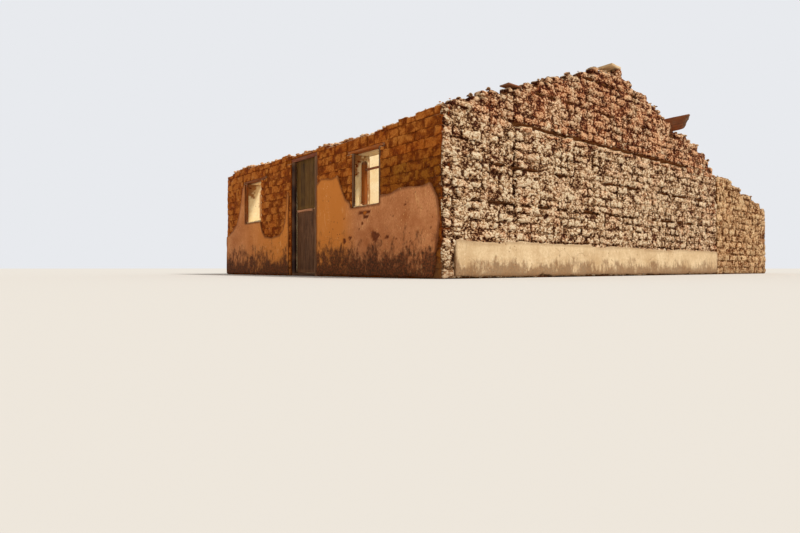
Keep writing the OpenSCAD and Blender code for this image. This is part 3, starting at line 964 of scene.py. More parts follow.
@dataclass(frozen=True)
class Earth(Finish):
    """Beaten earth with dust, crumbs and drying cracks."""

    name: str
    light: Colour
    dark: Colour

    def make(self, graph: Graph) -> bpy.types.Material:
        """Draws the finish in an empty graph.

        Args:
            graph: The graph.

        Returns:
            The material.
        """
        colour = graph.ramp(graph.noise(0.9, 6, 0.65), (0.32, self.dark), (0.68, self.light))
        crumbs = graph.noise(0.018, 4, 0.7)
        colour = graph.mix(graph.span(crumbs, 0.55, 0.7, 0, 0.6), colour, self.light)
        colour = graph.mix(graph.span(crumbs, 0.42, 0.3, 0, 0.6), colour, self.dark)
        crack = graph.span(graph.cells(0.3), 0.0, 0.015, 1, 0)
        colour = graph.mix(graph.maths("MULTIPLY", crack, 0.6), colour, self.dark)
        relief = graph.maths("SUBTRACT", crumbs, graph.maths("MULTIPLY", crack, 0.6))
        return graph.surface(colour, relief, 0.008, 0.96, 0.1)


GABLE_ADOBE = Adobe(
    "gable_adobe",
    joint_and_shade=(64, 24, 2), face=(208, 158, 110), pale=(255, 232, 196),
    warm_joint_and_shade=(74, 18, 1), warm_face=(184, 106, 60), warm_pale_and_highlight=(255, 202, 154),
    splash=(126, 96, 64), splash_height=0.5, splash_share=0.35,
    mottle=0.05, blotches=0.62, crumble=0.15,
)
# Partly painted shade: these front bricks are darker and more orange than the gable's because they copy the
# front wall's look in shade, the gable giving the sunlit look; the rest is their own sheltered colour.
SHADED_FRONT_ADOBE = Adobe(
    "front_adobe",
    joint_and_shade=(118, 52, 4), face=(160, 84, 22), pale=(206, 128, 56),
    warm_joint_and_shade=(116, 44, 2), warm_face=(154, 72, 10), warm_pale_and_highlight=(190, 104, 34),
    shade=(200, 204, 150), splash=(96, 64, 38), splash_height=0.5, splash_share=0.8,
    mottle=0.028, blotches=0.34, crumb=0.05, crumble=0.05, streaks=0.42, pits=0.02,
)
BACK_ADOBE = Adobe(
    "back_adobe",
    joint_and_shade=(98, 50, 16), face=(222, 168, 114), pale=(255, 222, 174),
    warm_joint_and_shade=(104, 50, 16), warm_face=(190, 130, 80), warm_pale_and_highlight=(236, 186, 136),
    splash=(126, 96, 64), splash_share=0.3,
)
GABLE_MORTAR = Mortar("gable_mortar", (96, 48, 18), (160, 106, 64))
FRONT_MORTAR = Mortar("front_mortar", (116, 54, 6), (152, 84, 28))
FRONT_PLASTER = Plaster(
    "front_plaster",
    light=(212, 142, 92), dark=(174, 102, 54), streak=(240, 186, 118), bare=(124, 64, 30),
    rim=(96, 44, 14), splash=(62, 36, 16), splash_height=0.66, streaks=0.55,
)
SIDE_PLASTER = Plaster(
    "side_plaster",
    light=(227, 201, 161), dark=(194, 161, 119), streak=(240, 217, 179), bare=(136, 94, 58),
    rim=(112, 72, 38), splash=(112, 80, 52), splash_height=0.34, splash_share=0.75, streaks=0.5,
)
# The inner plaster is near-white cream: its own lime colour, lightened partly as painted sunlight on the
# window reveals.
INNER_PLASTER = Plaster(
    "inner_plaster",
    light=(252, 236, 192), dark=(238, 208, 150), streak=(255, 244, 212), bare=(176, 126, 76),
    rim=(158, 106, 60), splash=(176, 136, 92), splash_height=0.3, splash_share=0.55, streaks=0.3,
    cracks=0.8,
)
FLOOR_EARTH = Earth("floor_earth", (190, 146, 104), (146, 100, 66))
IRON = Iron("hinge_iron")


def wood(name: str, palette: Palette, grain: int, **more: object) -> Wood:
    """A timber finish, named after its grain's axis as well."""
    return Wood(f"{name}_{'xyz'[grain]}", *palette, grain, **more)


def wall_slot(node: str) -> str:
    """The record's material slot of a wall."""
    return next((f"adobe_{word}" for word in ("gable", "back") if word in node), "adobe_front")


@dataclass(frozen=True)
class Bond:
    """How the bricks of a face are laid, and how far they have worn. Lengths are in metres."""

    course: float
    bed_gap: float
    head_gap: float
    rounding: float
    lump: float
    wear: float
    recess: float
    counts: tuple[int, int]
    gone: float
    halved: float
    tilt: float


WEATHERED = Bond(
    course=0.15, bed_gap=0.012, head_gap=0.018, rounding=0.034, lump=0.017, wear=0.030, recess=0.045,
    counts=(12, 6), gone=0.006, halved=0.3, tilt=0.04,
)
WEATHERED_PLAIN = replace(WEATHERED, lump=0.014, wear=0.028, counts=(6, 4), halved=0.2, tilt=0.03)
SHELTERED = replace(
    WEATHERED, bed_gap=0.003, head_gap=0.004, rounding=0.007, lump=0.008, wear=0.004, recess=0.013,
    gone=0.0, halved=0.12, tilt=0.01,
)
INNER = replace(
    WEATHERED, head_gap=0.016, rounding=0.024, lump=0.008, wear=0.016, recess=0.030,
    counts=(6, 4), gone=0.0, halved=0.1, tilt=0.02,
)
BACK = replace(
    WEATHERED, course=0.172, lump=0.015, wear=0.026, recess=0.040, counts=(11, 6), halved=0.12, tilt=0.03
)
BACK_PLAIN = replace(
    BACK, bed_gap=0.014, head_gap=0.02, rounding=0.03, lump=0.01, wear=0.022, recess=0.035,
    counts=(6, 4), gone=0.0, halved=0.1, tilt=0.02,
)


@dataclass
class Brick:
    """One brick in a face: its ends, its bed and top, and what shows of it beside its face."""

    start: float
    end: float
    bed: float
    top: float
    deep: bool
    open_top: bool


class Zone(Enum):
    """How the weather has coloured a face from place to place."""

    GABLE = "gable"
    FRONT = "front"
    PLAIN = "plain"


@dataclass
class BrickFace:
    """One face of a wall, laid in courses of single worn bricks."""

    name: str
    nodes: tuple[str, ...]
    side: Side
    bond: Bond
    finish: Adobe
    zone: Zone = Zone.PLAIN
    trim: Pair = (0.0, 0.0)
    depth: float = 0.1
    eaves: float = 2.62

    PROBE_DEPTH = 0.03
    OFF_JOINT = 0.0007
    HALF_BRICK = 0.215
    FULL_BRICK = 0.3
    SHORTEST_END = 0.11
    SMALLEST = (0.04, 0.02)
    WALL_STEP = 0.02
    NEAR = 0.04
    THINNEST = 0.012
    MIDDLE_GAP = 0.004
    BAND = (0.02, 0.17)
    DAMP_ALONG = (2.5, 2.8)
    DAMP_UP = (2.0, 1.85)
    LUMPS = (0.11, 0.06)

    def __post_init__(self) -> None:
        """Reads the wall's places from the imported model."""
        self.walls = Probe(*self.nodes)
        self.plaster = Probe(*PLASTER_NODES)
        self.random = seeded(self.name)
        boxes = [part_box(node) for node in self.nodes]
        along, across = self.side.along, self.side.across
        self.low = min(lo[along] for lo, _ in boxes)
        self.high = max(hi[along] for _, hi in boxes)
        self.base = min(lo[2] for lo, _ in boxes)
        self.peak = max(hi[2] for _, hi in boxes)
        lo, hi = boxes[0]
        self.plane = self.side.plane(self.nodes[0])
        self.layer = (hi[across] - lo[across]) / 2
        length = hi[along] - lo[along]
        self.origin = lo[along]
        self.step = length / max(round(length / self.HALF_BRICK), 1)

    def point(self, along: float, up: float, out: float) -> Vector:
        """A point of the house from a place on this face."""
        return Vector(self.side.place(along, up, out, self.plane))

    def beds(self) -> list[float]:
        """Heights of the courses' beds.

        Returns:
            The heights, from the foot up.
        """
        if self.peak - self.base < 1.5 * self.bond.course:
            return [self.base, self.base + 0.05]
        below = max(round((self.eaves - self.base) / self.bond.course), 1)
        course = (self.eaves - self.base) / below
        beds = [self.base + course * row for row in range(below + 1)]
        while beds[-1] < self.peak:
            beds.append(beds[-1] + self.bond.course)
        return beds

    def cuts(self, start: float, end: float, row: int) -> list[float]:
        """Places of the upright joints in a stretch of a course.

        Args:
            start: Start of the stretch.
            end: Its end.
            row: Number of the course.

        Returns:
            The joints, with both ends of the stretch.
        """
        length, shift = 2 * self.step, row % 2 * self.step
        first = math.ceil((start + self.SHORTEST_END - self.origin - shift) / length)
        cuts = [start]
        at = self.origin + shift + first * length
        while at < end - self.SHORTEST_END:
            cuts.append(at + self.random.uniform(-0.012, 0.012))
            at += length
        cuts.append(end)
        halves = []
        for low, high in zip(cuts, cuts[1:]):
            halves.append(low)
            if high - low > self.FULL_BRICK and self.random.random() < self.halving((low + high) / 2):
                halves.append((low + high) / 2 + self.random.uniform(-0.04, 0.04))
        return halves + [end]

    def halving(self, along: float) -> float:
        """Chance that a brick shows as two, which is greater near a gable's front corner."""
        near = smooth(along - self.low, 2.2, 0.4) if self.zone is Zone.GABLE else 0.0
        return self.bond.halved + 0.35 * near

    def column(self, along: float, middle: float) -> Pair:
        """How far the wall is solid above and below a point.

        Args:
            along: The point's place along the face.
            middle: Its height.

        Returns:
            The lowest and the highest solid place.
        """
        point = self.point(along, middle, -self.PROBE_DEPTH)
        down = self.walls.reach(point, Vector((0, 0, -1)))
        rise = self.walls.reach(point, Vector((0, 0, 1)))
        return middle - down, middle + rise

    def fitted(self, fit: Fit) -> list[Fit]:
        """Fits a brick to the wall's own openings and worn top.

        Args:
            fit: The brick as its course would have it.

        Returns:
            The brick, or its two halves where the wall has a step.
        """
        start, end, bed, top = fit
        half_way = 0.5 * (top - bed)
        (low_a, high_a), (low_b, high_b) = (
            self.column(start + share * (end - start), (bed + top) / 2) for share in (0.25, 0.75)
        )
        step_above = abs(min(high_a, top + half_way) - min(high_b, top + half_way))
        step_below = abs(max(low_a, bed - half_way) - max(low_b, bed - half_way))
        if max(step_above, step_below) > self.WALL_STEP and end - start > 0.2:
            cut = (start + end) / 2
            return self.fitted((start, cut, bed, top)) + self.fitted((cut, end, bed, top))
        low, high = max(low_a, low_b), min(high_a, high_b)
        if high < top or high - top < half_way:
            top = high
        if low > bed or bed - low < half_way:
            bed = low
        return [(start, end, bed, top)]

    def hidden(self, fit: Fit) -> bool:
        """Whether plaster or another wall covers the whole face of a brick.

        Args:
            fit: The brick.

        Returns:
            Whether they do.
        """
        start, end, bed, top = fit
        beside, inset, reach = 0.03, 0.02, 0.2
        for share, height in ((0.5, 0.5), (0, 0), (1, 0), (0, 1), (1, 1)):
            along = start - beside + share * (end - start + 2 * beside)
            up = bed + inset + height * (top - bed + 0.5 * inset)
            covered = self.plaster.hit(self.point(along, up, reach), -self.side.normal, reach)
            if not covered and not ALL_WALLS.solid(self.point(along, up, 2 * beside)):
                return False
        return True

    def shows_deep(self, fit: Fit) -> bool:
        """Whether more than a brick's face shows: its top, its back or an end.

        Args:
            fit: The brick.

        Returns:
            Whether more shows.
        """
        start, end, bed, top = fit
        inside, above, corner = -self.layer / 2, top + self.NEAR, 0.05
        middle, height = (start + end) / 2, (bed + top) / 2
        places = (
            (middle, above, inside),
            (start + corner, above, inside),
            (end - corner, above, inside),
            (middle, height, -self.layer - self.NEAR),
            (start - self.NEAR, height, inside),
            (end + self.NEAR, height, inside),
        )
        return any(not ALL_WALLS.solid(self.point(*place)) for place in places)

    def is_topmost(self, fit: Fit) -> bool:
        """Whether nothing lies on a brick, at its middle."""
        middle, above = (fit[0] + fit[1]) / 2, fit[3] + self.NEAR
        return not ALL_WALLS.solid(self.point(middle, above, -self.PROBE_DEPTH))

    def lay(self) -> list[Brick]:
        """Lays the bricks of the face.

        Returns:
            All that show.
        """
        bricks = []
        way = Vector([1.0 if axis == self.side.along else 0.0 for axis in range(3)])
        beds, outside = self.beds(), self.low - 1
        for row, (bed, top) in enumerate(zip(beds, beds[1:])):
            start = self.point(outside, (bed + top) / 2 + self.OFF_JOINT, -self.PROBE_DEPTH)
            for near, far in self.walls.spans(start, way, self.high - self.low + 2):
                cuts = self.cuts(outside + near, outside + far, row)
                for left, right in zip(cuts, cuts[1:]):
                    for fit in self.fitted((left, right, bed, top)):
                        big = fit[1] - fit[0] > self.SMALLEST[0] and fit[3] - fit[2] > self.SMALLEST[1]
                        if big and not self.hidden(fit):
                            bricks.append(Brick(*fit, self.shows_deep(fit), self.is_topmost(fit)))
        return bricks

    def colouring(self, along: np.ndarray, up: np.ndarray) -> tuple[np.ndarray, np.ndarray]:
        """Warmth and lightness of bricks by their place.

        Args:
            along: Middles of the bricks along the face.
            up: Their heights.

        Returns:
            Warmth and lightness, from 0 to 1.
        """
        warm = 0.25 + 0.3 * self.random.random(len(along))
        light = self.random.random(len(along))
        if self.zone is Zone.GABLE:
            from_corner = along - self.low
            lift, width = self.BAND
            band = np.exp(-(((up - self.eaves - lift) / width) ** 2)) * smooth(from_corner, 0.6, 2.0)
            above = smooth(up, self.eaves - 0.1, self.eaves + 0.3)
            warm = 0.06 + 0.22 * self.random.random(len(along)) + 0.55 * above + 0.75 * band
            warm += 0.25 * smooth(from_corner, 8.4, 9.6)
            light = 0.35 * light + 0.65 - 0.25 * above + 0.1 * smooth(from_corner, 1.6, 0.3)
        if self.zone is Zone.FRONT:
            warm = 0.3 + 0.4 * self.random.random(len(along))
            damp = smooth(along, *self.DAMP_ALONG) * smooth(up, *self.DAMP_UP)
            light = 0.8 + 0.2 * light - 0.8 * damp
        return warm, np.clip(light, 0, 1)

    def shape(self, bricks: list[Brick], deep: bool) -> Shell | None:
        """Models the bricks, worn and uneven.

        Args:
            bricks: The bricks of the face.
            deep: Whether the ones that show deep are wanted, or the others.

        Returns:
            Their shell, or None if there are none.
        """
        chosen = [brick for brick in bricks if brick.deep == deep]
        if not chosen:
            return None
        shell = Shell()
        table = np.array([[b.start, b.end, b.bed, b.top, b.open_top] for b in chosen])
        wide = table[:, 1] - table[:, 0] > self.FULL_BRICK
        for full in (True, False):
            part = table[wide == full]
            if len(part):
                self.model(shell, part, full, deep)
        return shell

    def model(self, shell: Shell, table: np.ndarray, full: bool, deep: bool) -> None:
        """Adds like bricks to a shell.

        Args:
            shell: Where they go.
            table: Start, end, bed and top of each, and whether nothing lies on it.
            full: Whether they are full bricks or shorter ones.
            deep: Whether they show deep.
        """
        bond, count = self.bond, len(table)
        draw, free = self.random, table[:, 4]
        gaps = draw.uniform(0.35, 1.65, (4, count)) / 2
        low = np.maximum(table[:, 0] + bond.head_gap * gaps[0], self.low + self.trim[0])
        high = np.minimum(table[:, 1] - bond.head_gap * gaps[1], self.high - self.trim[1])
        bed = table[:, 2] + bond.bed_gap * gaps[2]
        top = table[:, 3] - bond.bed_gap * gaps[3] - free * draw.uniform(0, 0.2, count) * (table[:, 3] - bed)
        depth = self.layer - self.MIDDLE_GAP if deep else self.depth
        half = np.stack([(high - low) / 2, (top - bed) / 2, np.full(count, depth / 2)], -1)
        half = np.maximum(half, self.THINNEST)
        radius = bond.rounding * draw.uniform(0.7, 1.3, count) * (1 + free)
        radius = np.minimum(radius, 0.8 * half.min(1))
        across, up = bond.counts
        counts = (across if full else max(across * 3 // 5, 4), up, 4 if deep else 2)
        points, normals, faces = rounded_blocks(half, radius, counts, plain_back=True)
        wear = bond.wear * draw.random(count) ** 1.6
        fallen = draw.random(count) < bond.gone
        wear = np.where(fallen, bond.recess + 0.01, wear)
        middle = np.stack([(low + high) / 2, (bed + top) / 2, -depth / 2 - wear], -1)
        offset = draw.uniform(0, 20, (count, 1, 3))
        spot = points + middle[:, None] + offset
        lump = NOISE.rough(spot * (1, 1.25, 1), self.LUMPS[0], 2) * bond.lump
        lump += NOISE.at(spot, self.LUMPS[1]) * 0.6 * bond.lump
        share = points / half[:, None]
        bulge = (1 - share[..., 0] ** 2) * (1 - share[..., 1] ** 2) * (share[..., 2] > 0.9)
        lump += bulge * bond.lump * draw.uniform(-0.2, 0.9, (count, 1))
        points = points + normals * lump[..., None]
        turn = draw.normal(0, 1, (count, 1, 3)) * (bond.tilt * (1 + free))[:, None, None]
        points = points + np.cross(turn, points)
        points = points + middle[:, None]
        points[..., 1] = np.maximum(points[..., 1], self.base)
        outer = points[..., 2]
        # proud is how far a point stands out of the joints; the adobe finish paints shade where it is low and
        # a highlight where it is high.
        behind = outer + 0.75 * wear[:, None] + 0.55 * bond.recess
        proud = np.clip(behind / (0.55 * bond.recess + 0.4 * bond.lump), 0, 1) ** 1.2
        warm, light = self.colouring(middle[:, 0], middle[:, 1])
        size = points.shape[:2]
        shell.add(
            self.side.place(points[..., 0], points[..., 1], outer, self.plane),
            many(faces, count, size[1]),
            reverse=self.side.turned,
            proud=proud,
            tone=np.broadcast_to(light[:, None], size),
            warm=np.broadcast_to(warm[:, None], size),
            # bare is set on the upward faces of topmost bricks, which the finish paints pale: dust, and a
            # painted highlight of the lit tops.
            bare=free[:, None] * smooth(normals[..., 1], 0.2, 0.75),
        )

    def dress(self) -> None:
        """Builds the face's bricks as one or two pieces."""
        bricks = self.lay()
        for deep, ending in ((False, "bricks"), (True, "edge_bricks")):
            shell = self.shape(bricks, deep)
            if shell:
                shell.build(f"{self.name}_{ending}", self.finish, wall_slot(self.nodes[0]))


@dataclass
class WallCore:
    """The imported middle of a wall, set back behind the faces of its bricks."""

    node: str
    finish: Mortar
    back: dict[Side, float]
    inner: float = 0.03
    top: float = 0.045

    TOUCH = 1e-3

    def dress(self) -> None:
        """Builds the core in the place of its node."""
        points, triangles = solid_mesh(self.node)
        lo, hi = (np.array(corner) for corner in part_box(self.node))
        corners = points[triangles]
        normals = np.cross(corners[:, 1] - corners[:, 0], corners[:, 2] - corners[:, 0])
        axes = np.abs(normals).argmax(1)
        signs = np.sign(normals[np.arange(len(axes)), axes])
        ends = {(side.across, side.sign): value for side, value in self.back.items()}
        moves = np.zeros((len(points), 3, 2))
        for triangle, axis, sign in zip(triangles, axes, signs):
            extreme = (hi if sign > 0 else lo)[axis]
            value = self.inner
            if axis == 2:
                value = self.top if sign > 0 else 0.0
            elif abs(points[triangle, axis] - extreme).max() < self.TOUCH:
                value = ends.get((axis, int(sign)), self.inner)
            moves[triangle, axis, int(sign > 0)] = value
        inset = points + moves[..., 0] - moves[..., 1]
        shell = Shell()
        shell.add(inset, [triangles])
        shell.build(f"{self.node}_core", self.finish, wall_slot(self.node), stands_for=(self.node,))


def outline_of(node: str, side: Side) -> np.ndarray:
    """Outline of a node's outermost face.

    Args:
        node: The node.
        side: Side that the face looks to.

    Returns:
        The straight pieces of the outline, each as two places in the face's own axes.
    """
    points, triangles = solid_mesh(node)
    flat = np.abs(points[triangles][..., side.across] - side.plane(node)).max(1) < 5e-4
    face = triangles[flat]
    edges = np.concatenate([face[:, [0, 1]], face[:, [1, 2]], face[:, [2, 0]]])
    _, index, times = np.unique(np.sort(edges, 1), axis=0, return_index=True, return_counts=True)
    return points[edges[index[times == 1]]][..., [side.along, side.up]]


def inside_distance(places: np.ndarray, outline: np.ndarray) -> np.ndarray:
    """Distance from places to an outline, above zero inside it.

    Args:
        places: Places in the face's own axes, on the last axis.
        outline: Straight pieces, each as two places.

    Returns:
        The distances.
    """
    start, way = outline[:, 0], outline[:, 1] - outline[:, 0]
    nearest = np.full(places.shape[:-1], np.inf)
    crossings = np.zeros(places.shape[:-1], int)
    for a, w in zip(start, way):
        share = np.clip(((places - a) @ w) / max(w @ w, TINY), 0, 1)
        nearest = np.minimum(nearest, np.linalg.norm(places - a - share[..., None] * w, axis=-1))
        above = (a[1] > places[..., 1]) != (a[1] + w[1] > places[..., 1])
        at = a[0] + (places[..., 1] - a[1]) * w[0] / (w[1] if abs(w[1]) > TINY else TINY)
        crossings += above & (places[..., 0] < at)
    return np.where(crossings % 2 == 1, nearest, -nearest)


# The faces of a cell by which of its corners A to D are solid; small letters lie on its edges.
CELL_FACES = {
    1: [("A", "ab", "da")], 2: [("B", "bc", "ab")], 3: [("A", "B", "bc", "da")],
    4: [("C", "cd", "bc")], 5: [("A", "ab", "da"), ("C", "cd", "bc")], 6: [("B", "C", "cd", "ab")],
    7: [("A", "B", "C", "cd", "da")], 8: [("D", "da", "cd")], 9: [("A", "ab", "cd", "D")],
    10: [("B", "bc", "ab"), ("D", "da", "cd")], 11: [("A", "B", "bc", "cd", "D")],
    12: [("C", "D", "da", "bc")], 13: [("A", "ab", "bc", "C", "D")],
    14: [("B", "C", "D", "da", "ab")], 15: [("A", "B", "C", "D")],
}


def cut_sheet(field: np.ndarray, along: np.ndarray, up: np.ndarray) -> tuple[np.ndarray, list, np.ndarray]:
    """Cuts a flat sheet where a field on a grid falls under zero.

    Args:
        field: The field, by places along and up.
        along: Places of the grid's columns.
        up: Places of its rows.

    Returns:
        The sheet's points, its faces in groups and the pieces of its rim.
    """
    wide, high = field.shape
    column, row = np.meshgrid(np.arange(wide), np.arange(high), indexing="ij")
    number = column * high + row
    offset = wide * high
    grid = np.stack(np.meshgrid(along, up, indexing="ij"), -1)

    def crossing(first: tuple, second: tuple) -> np.ndarray:
        """Places where the field is zero between neighbours.

        Args:
            first: Slices of the field for one neighbour.
            second: The same for the other.

        Returns:
            The places.
        """
        a, b = field[first], field[second]
        step = np.where(np.abs(a - b) > TINY, a - b, TINY)
        share = np.clip(a / step, 0.03, 0.97)[..., None]
        return grid[first] + share * (grid[second] - grid[first])

    whole = slice(None)
    less, more = slice(None, -1), slice(1, None)
    across = crossing((less, whole), (more, whole))
    upright = crossing((whole, less), (whole, more))
    points = np.concatenate([grid.reshape(-1, 2), across.reshape(-1, 2), upright.reshape(-1, 2)])
    across_number = offset + np.arange((wide - 1) * high).reshape(wide - 1, high)
    upright_number = offset + (wide - 1) * high + np.arange(wide * (high - 1)).reshape(wide, high - 1)
    corner = {
        "A": number[:-1, :-1], "B": number[1:, :-1], "C": number[1:, 1:], "D": number[:-1, 1:],
        "ab": across_number[:, :-1], "bc": upright_number[1:, :],
        "cd": across_number[:, 1:], "da": upright_number[:-1, :],
    }
    inside = (field > 0).astype(int)
    code = inside[:-1, :-1] + 2 * inside[1:, :-1] + 4 * inside[1:, 1:] + 8 * inside[:-1, 1:]
    faces, rim = [], []
    for case, shapes in CELL_FACES.items():
        chosen = code == case
        if not chosen.any():
            continue
        for shape in shapes:
            faces.append(np.stack([corner[c][chosen] for c in shape], -1))
            for first, second in zip(shape, shape[1:] + shape[:1]):
                if first.islower() and second.islower():
                    rim.append(np.stack([corner[first][chosen], corner[second][chosen]], -1))
    used = np.unique(np.concatenate([f.ravel() for f in faces]))
    fresh = np.zeros(len(points), int)
    fresh[used] = np.arange(len(used))
    return points[used], [fresh[f] for f in faces], fresh[np.concatenate(rim)]


@dataclass(frozen=True)
class Spall:
    """A spot where plaster has come off: its place, half its width and half its height."""

    along: float
    up: float
    wide: float
    high: float


@dataclass
class Sheet:
    """A sheet of plaster or earth over a face, with a broken rim and an uneven surface."""

    name: str
    outline: np.ndarray
    side: Side
    plane: float
    finish: Finish
    slot: str
    cell: float = 0.03
    ragged: float = 0.02
    thickness: float = 0.015
    root: float = 0.02
    waves: float = 0.004
    wave_size: float = 0.3
    spalls: tuple[Spall, ...] = ()
    stands_for: tuple[str, ...] = ()
    rim_warmth: float = 0.8
    root_bare: float = 1.0
    tone: float = 0.0
    warm_above: float = 99.0
    baked_from: Pair | None = None

    @classmethod
    def of_node(
        cls, node: str, side: Side, finish: Finish, slot: str, ending: str = "coat", **more: object
    ) -> "Sheet":
        """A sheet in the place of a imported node.

        Args:
            node: The node.
            side: Side that it looks to.
            finish: Its finish.
            slot: The record's slot.
            ending: What the piece's name has after the node's.
            more: Other fields.

        Returns:
            The sheet.
        """
        lo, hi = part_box(node)
        thickness = hi[side.across] - lo[side.across]
        plane = side.plane(node) - side.sign * thickness
        return cls(f"{node}_{ending}", outline_of(node, side), side, plane, finish, slot,
                   thickness=thickness, stands_for=(node,), **more)

    def dress(self) -> None:
        """Builds the sheet."""
        low, high = self.outline.reshape(-1, 2).min(0), self.outline.reshape(-1, 2).max(0)
        along = np.arange(low[0] - self.cell, high[0] + 1.5 * self.cell, self.cell)
        up = np.arange(low[1] - self.cell, high[1] + 1.5 * self.cell, self.cell)
        grid = np.stack(np.meshgrid(along, up, indexing="ij"), -1)
        spot = self.side.place(grid[..., 0], grid[..., 1], 0.0, self.plane)
        distance = inside_distance(grid, self.outline)
        bite = NOISE.rough(spot, 6 * self.ragged + 1e-3, 3) * 0.8 + 0.5
        flat, faces, rim = cut_sheet(distance - self.ragged * np.clip(bite, 0, 2), along, up)
        spot = self.side.place(flat[:, 0], flat[:, 1], 0.0, self.plane)
        bare = self.bare(flat, spot)
        wave = NOISE.rough(spot, self.wave_size, 3)
        out = self.thickness + self.waves * wave
        out = out * (1 - bare) + bare * (0.1 * self.thickness + 0.2 * self.waves * NOISE.at(spot, 0.03))
        # The share near the rim darkens the coat's edge as a painted shadow along it.
        edge_shadow_share = smooth(inside_distance(flat, self.outline), 0.045 + self.ragged, self.ragged)
        front = self.side.place(flat[:, 0], flat[:, 1], out, self.plane)
        back = self.side.place(flat[:, 0], flat[:, 1], -self.root, self.plane)
        count = len(flat)
        tone = smooth(flat[:, 0], *self.baked_from) if self.baked_from else np.full(count, self.tone)
        skirt = np.stack([rim[:, 1], rim[:, 0], rim[:, 0] + count, rim[:, 1] + count], -1)
        shell = Shell()
        shell.add(
            np.concatenate([front, back]),
            faces + [group[:, ::-1] + count for group in faces] + [skirt],
            reverse=self.side.turned,
            bare=np.concatenate([bare, self.root_bare * np.ones(count)]),
            warm=np.concatenate([edge_shadow_share * self.rim_warmth * 0.7 + self.warmth(flat), np.ones(count)]),
            tone=np.tile(tone, 2),
            # proud follows the waves; under the adobe finish of the joint mud its low parts get painted
            # shade.
            proud=np.tile(np.clip(0.45 + 0.5 * wave, 0, 1), 2),
        )
        shell.build(self.name, self.finish, self.slot, stands_for=self.stands_for)

    def warmth(self, flat: np.ndarray) -> np.ndarray:
        """How warm the mud is at each point, which is more above the eaves."""
        return 0.7 * smooth(flat[:, 1], self.warm_above - 0.1, self.warm_above + 0.3)

    def bare(self, flat: np.ndarray, spot: np.ndarray) -> np.ndarray:
        """How far the plaster has come off at each point.

        Args:
            flat: Places in the face's own axes.
            spot: The same places in the house.

        Returns:
            Values from 0 to 1.
        """
        gone = np.zeros(len(flat))
        wobble = 0.35 * NOISE.rough(spot, 0.06, 2)
        for spall in self.spalls:
            away = np.hypot((flat[:, 0] - spall.along) / spall.wide, (flat[:, 1] - spall.up) / spall.high)
            gone = np.maximum(gone, smooth(away + wobble, 1.05, 0.85))
        return gone


@dataclass
class Timbers:
    """Worn timbers in the place of a node's plain ones."""

    node: str
    finish: Wood
    slot: str
    body: str = HOUSE
    rounding: float = 0.006
    wear: float = 0.0016
    bow: float = 0.0
    broken: float = 0.0
    rake: float = 0.0
    tones: tuple[float, ...] = ()

    STEPS = (0.014, 0.07)
    MOST_STEPS = (8, 34)
    ALONG_GRAIN = 0.06
    RIDGE = 0.02
    LUMP = 0.16
    JAG = 0.035

    def dress(self) -> None:
        """Builds all the timbers of the node as one piece."""
        name = f"{self.node}_worn"
        shell = Shell()
        draw = seeded(name)
        timbers = sorted(islands(self.node), key=lambda corners: tuple(corners.min(0)))
        for number, corners in enumerate(timbers):
            tone = self.tones[number] if self.tones else draw.random()
            self.model(shell, corners, tone, draw)
        shell.build(name, self.finish, self.slot, self.body, (self.node,))

    def model(self, shell: Shell, corners: np.ndarray, tone: float, draw: np.random.Generator) -> None:
        """Adds one timber.

        Args:
            shell: Where it goes.
            corners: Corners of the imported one.
            tone: How light it is, from 0 to 1.
            draw: Random numbers.
        """
        grain = self.finish.grain
        turn = self.slope(corners) if grain == 0 else 0.0
        cosine, sine = math.cos(turn), math.sin(turn)
        spin = np.array([[cosine, 0, -sine], [0, 1, 0], [sine, 0, cosine]])
        level = corners @ spin
        half = (level.max(0) - level.min(0)) / 2
        middle = (level.max(0) + level.min(0)) / 2
        counts = tuple(
            int(np.clip(2 * size / self.STEPS[axis == grain], 3, self.MOST_STEPS[axis == grain]))
            for axis, size in enumerate(half)
        )
        radius = np.array([min(self.rounding, 0.45 * half.min())])
        points, normals, faces = rounded_blocks(half[None], radius, counts)
        points, normals = points[0], normals[0]
        stretch = np.where(np.arange(3) == grain, self.ALONG_GRAIN, 1.0)
        ridges = NOISE.rough((points + middle + 9 * tone) * stretch, self.RIDGE, 2)
        lumps = NOISE.at(points + middle + 5 * tone, self.LUMP)
        share = points[:, grain] / half[grain]
        ends = smooth(np.abs(share), 0.9, 1.0)
        inward = -(self.wear * (0.8 * np.abs(ridges) + 0.6 * np.abs(lumps)))
        points = points + normals * inward[:, None]
        if self.broken:
            jag = NOISE.rough(points + 3 * tone, self.JAG, 2)
            sign = np.sign(share)
            points[:, grain] -= sign * ends * self.broken * np.clip(0.5 + jag, 0, 1.4) * (share > 0)
        lowness = 0.5 - 0.5 * points[:, 2] / half[2]
        points[:, grain] -= self.rake * lowness * np.clip((share - 0.3) / 0.7, 0, 1)
        points[:, 2] += 0.33 * self.rake * lowness * np.clip(0.6 * share + 0.4, 0, 1)
        thin = int(np.argmin(half))
        points[:, thin] += self.bow * (1 - share**2) * (draw.random() - 0.5)
        shell.add(
            (points + middle) @ spin.T,
            many(faces, 1, len(points)),
            tone=tone,
            bare=0.5 * ends + 0.3 * np.clip(lumps, 0, 1),
            proud=1.0,
        )

    @staticmethod
    def slope(corners: np.ndarray) -> float:
        """Slope of a timber that runs in the plane of X and Z.

        Args:
            corners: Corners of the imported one.

        Returns:
            Its angle.
        """
        top = corners[np.argmax(corners[:, 2] + 1e-3 * corners[:, 0])]
        low = corners[np.argmin(corners[:, 0] - 1e-3 * corners[:, 2])]
        high = corners[np.argmax(corners[:, 0] + 1e-3 * corners[:, 2])]
        if abs(high[2] - top[2]) > 1e-4 or len(np.unique(np.round(corners[:, 2], 4))) == 2:
            return 0.0
        return math.atan2(high[2] - low[2], high[0] - low[0])


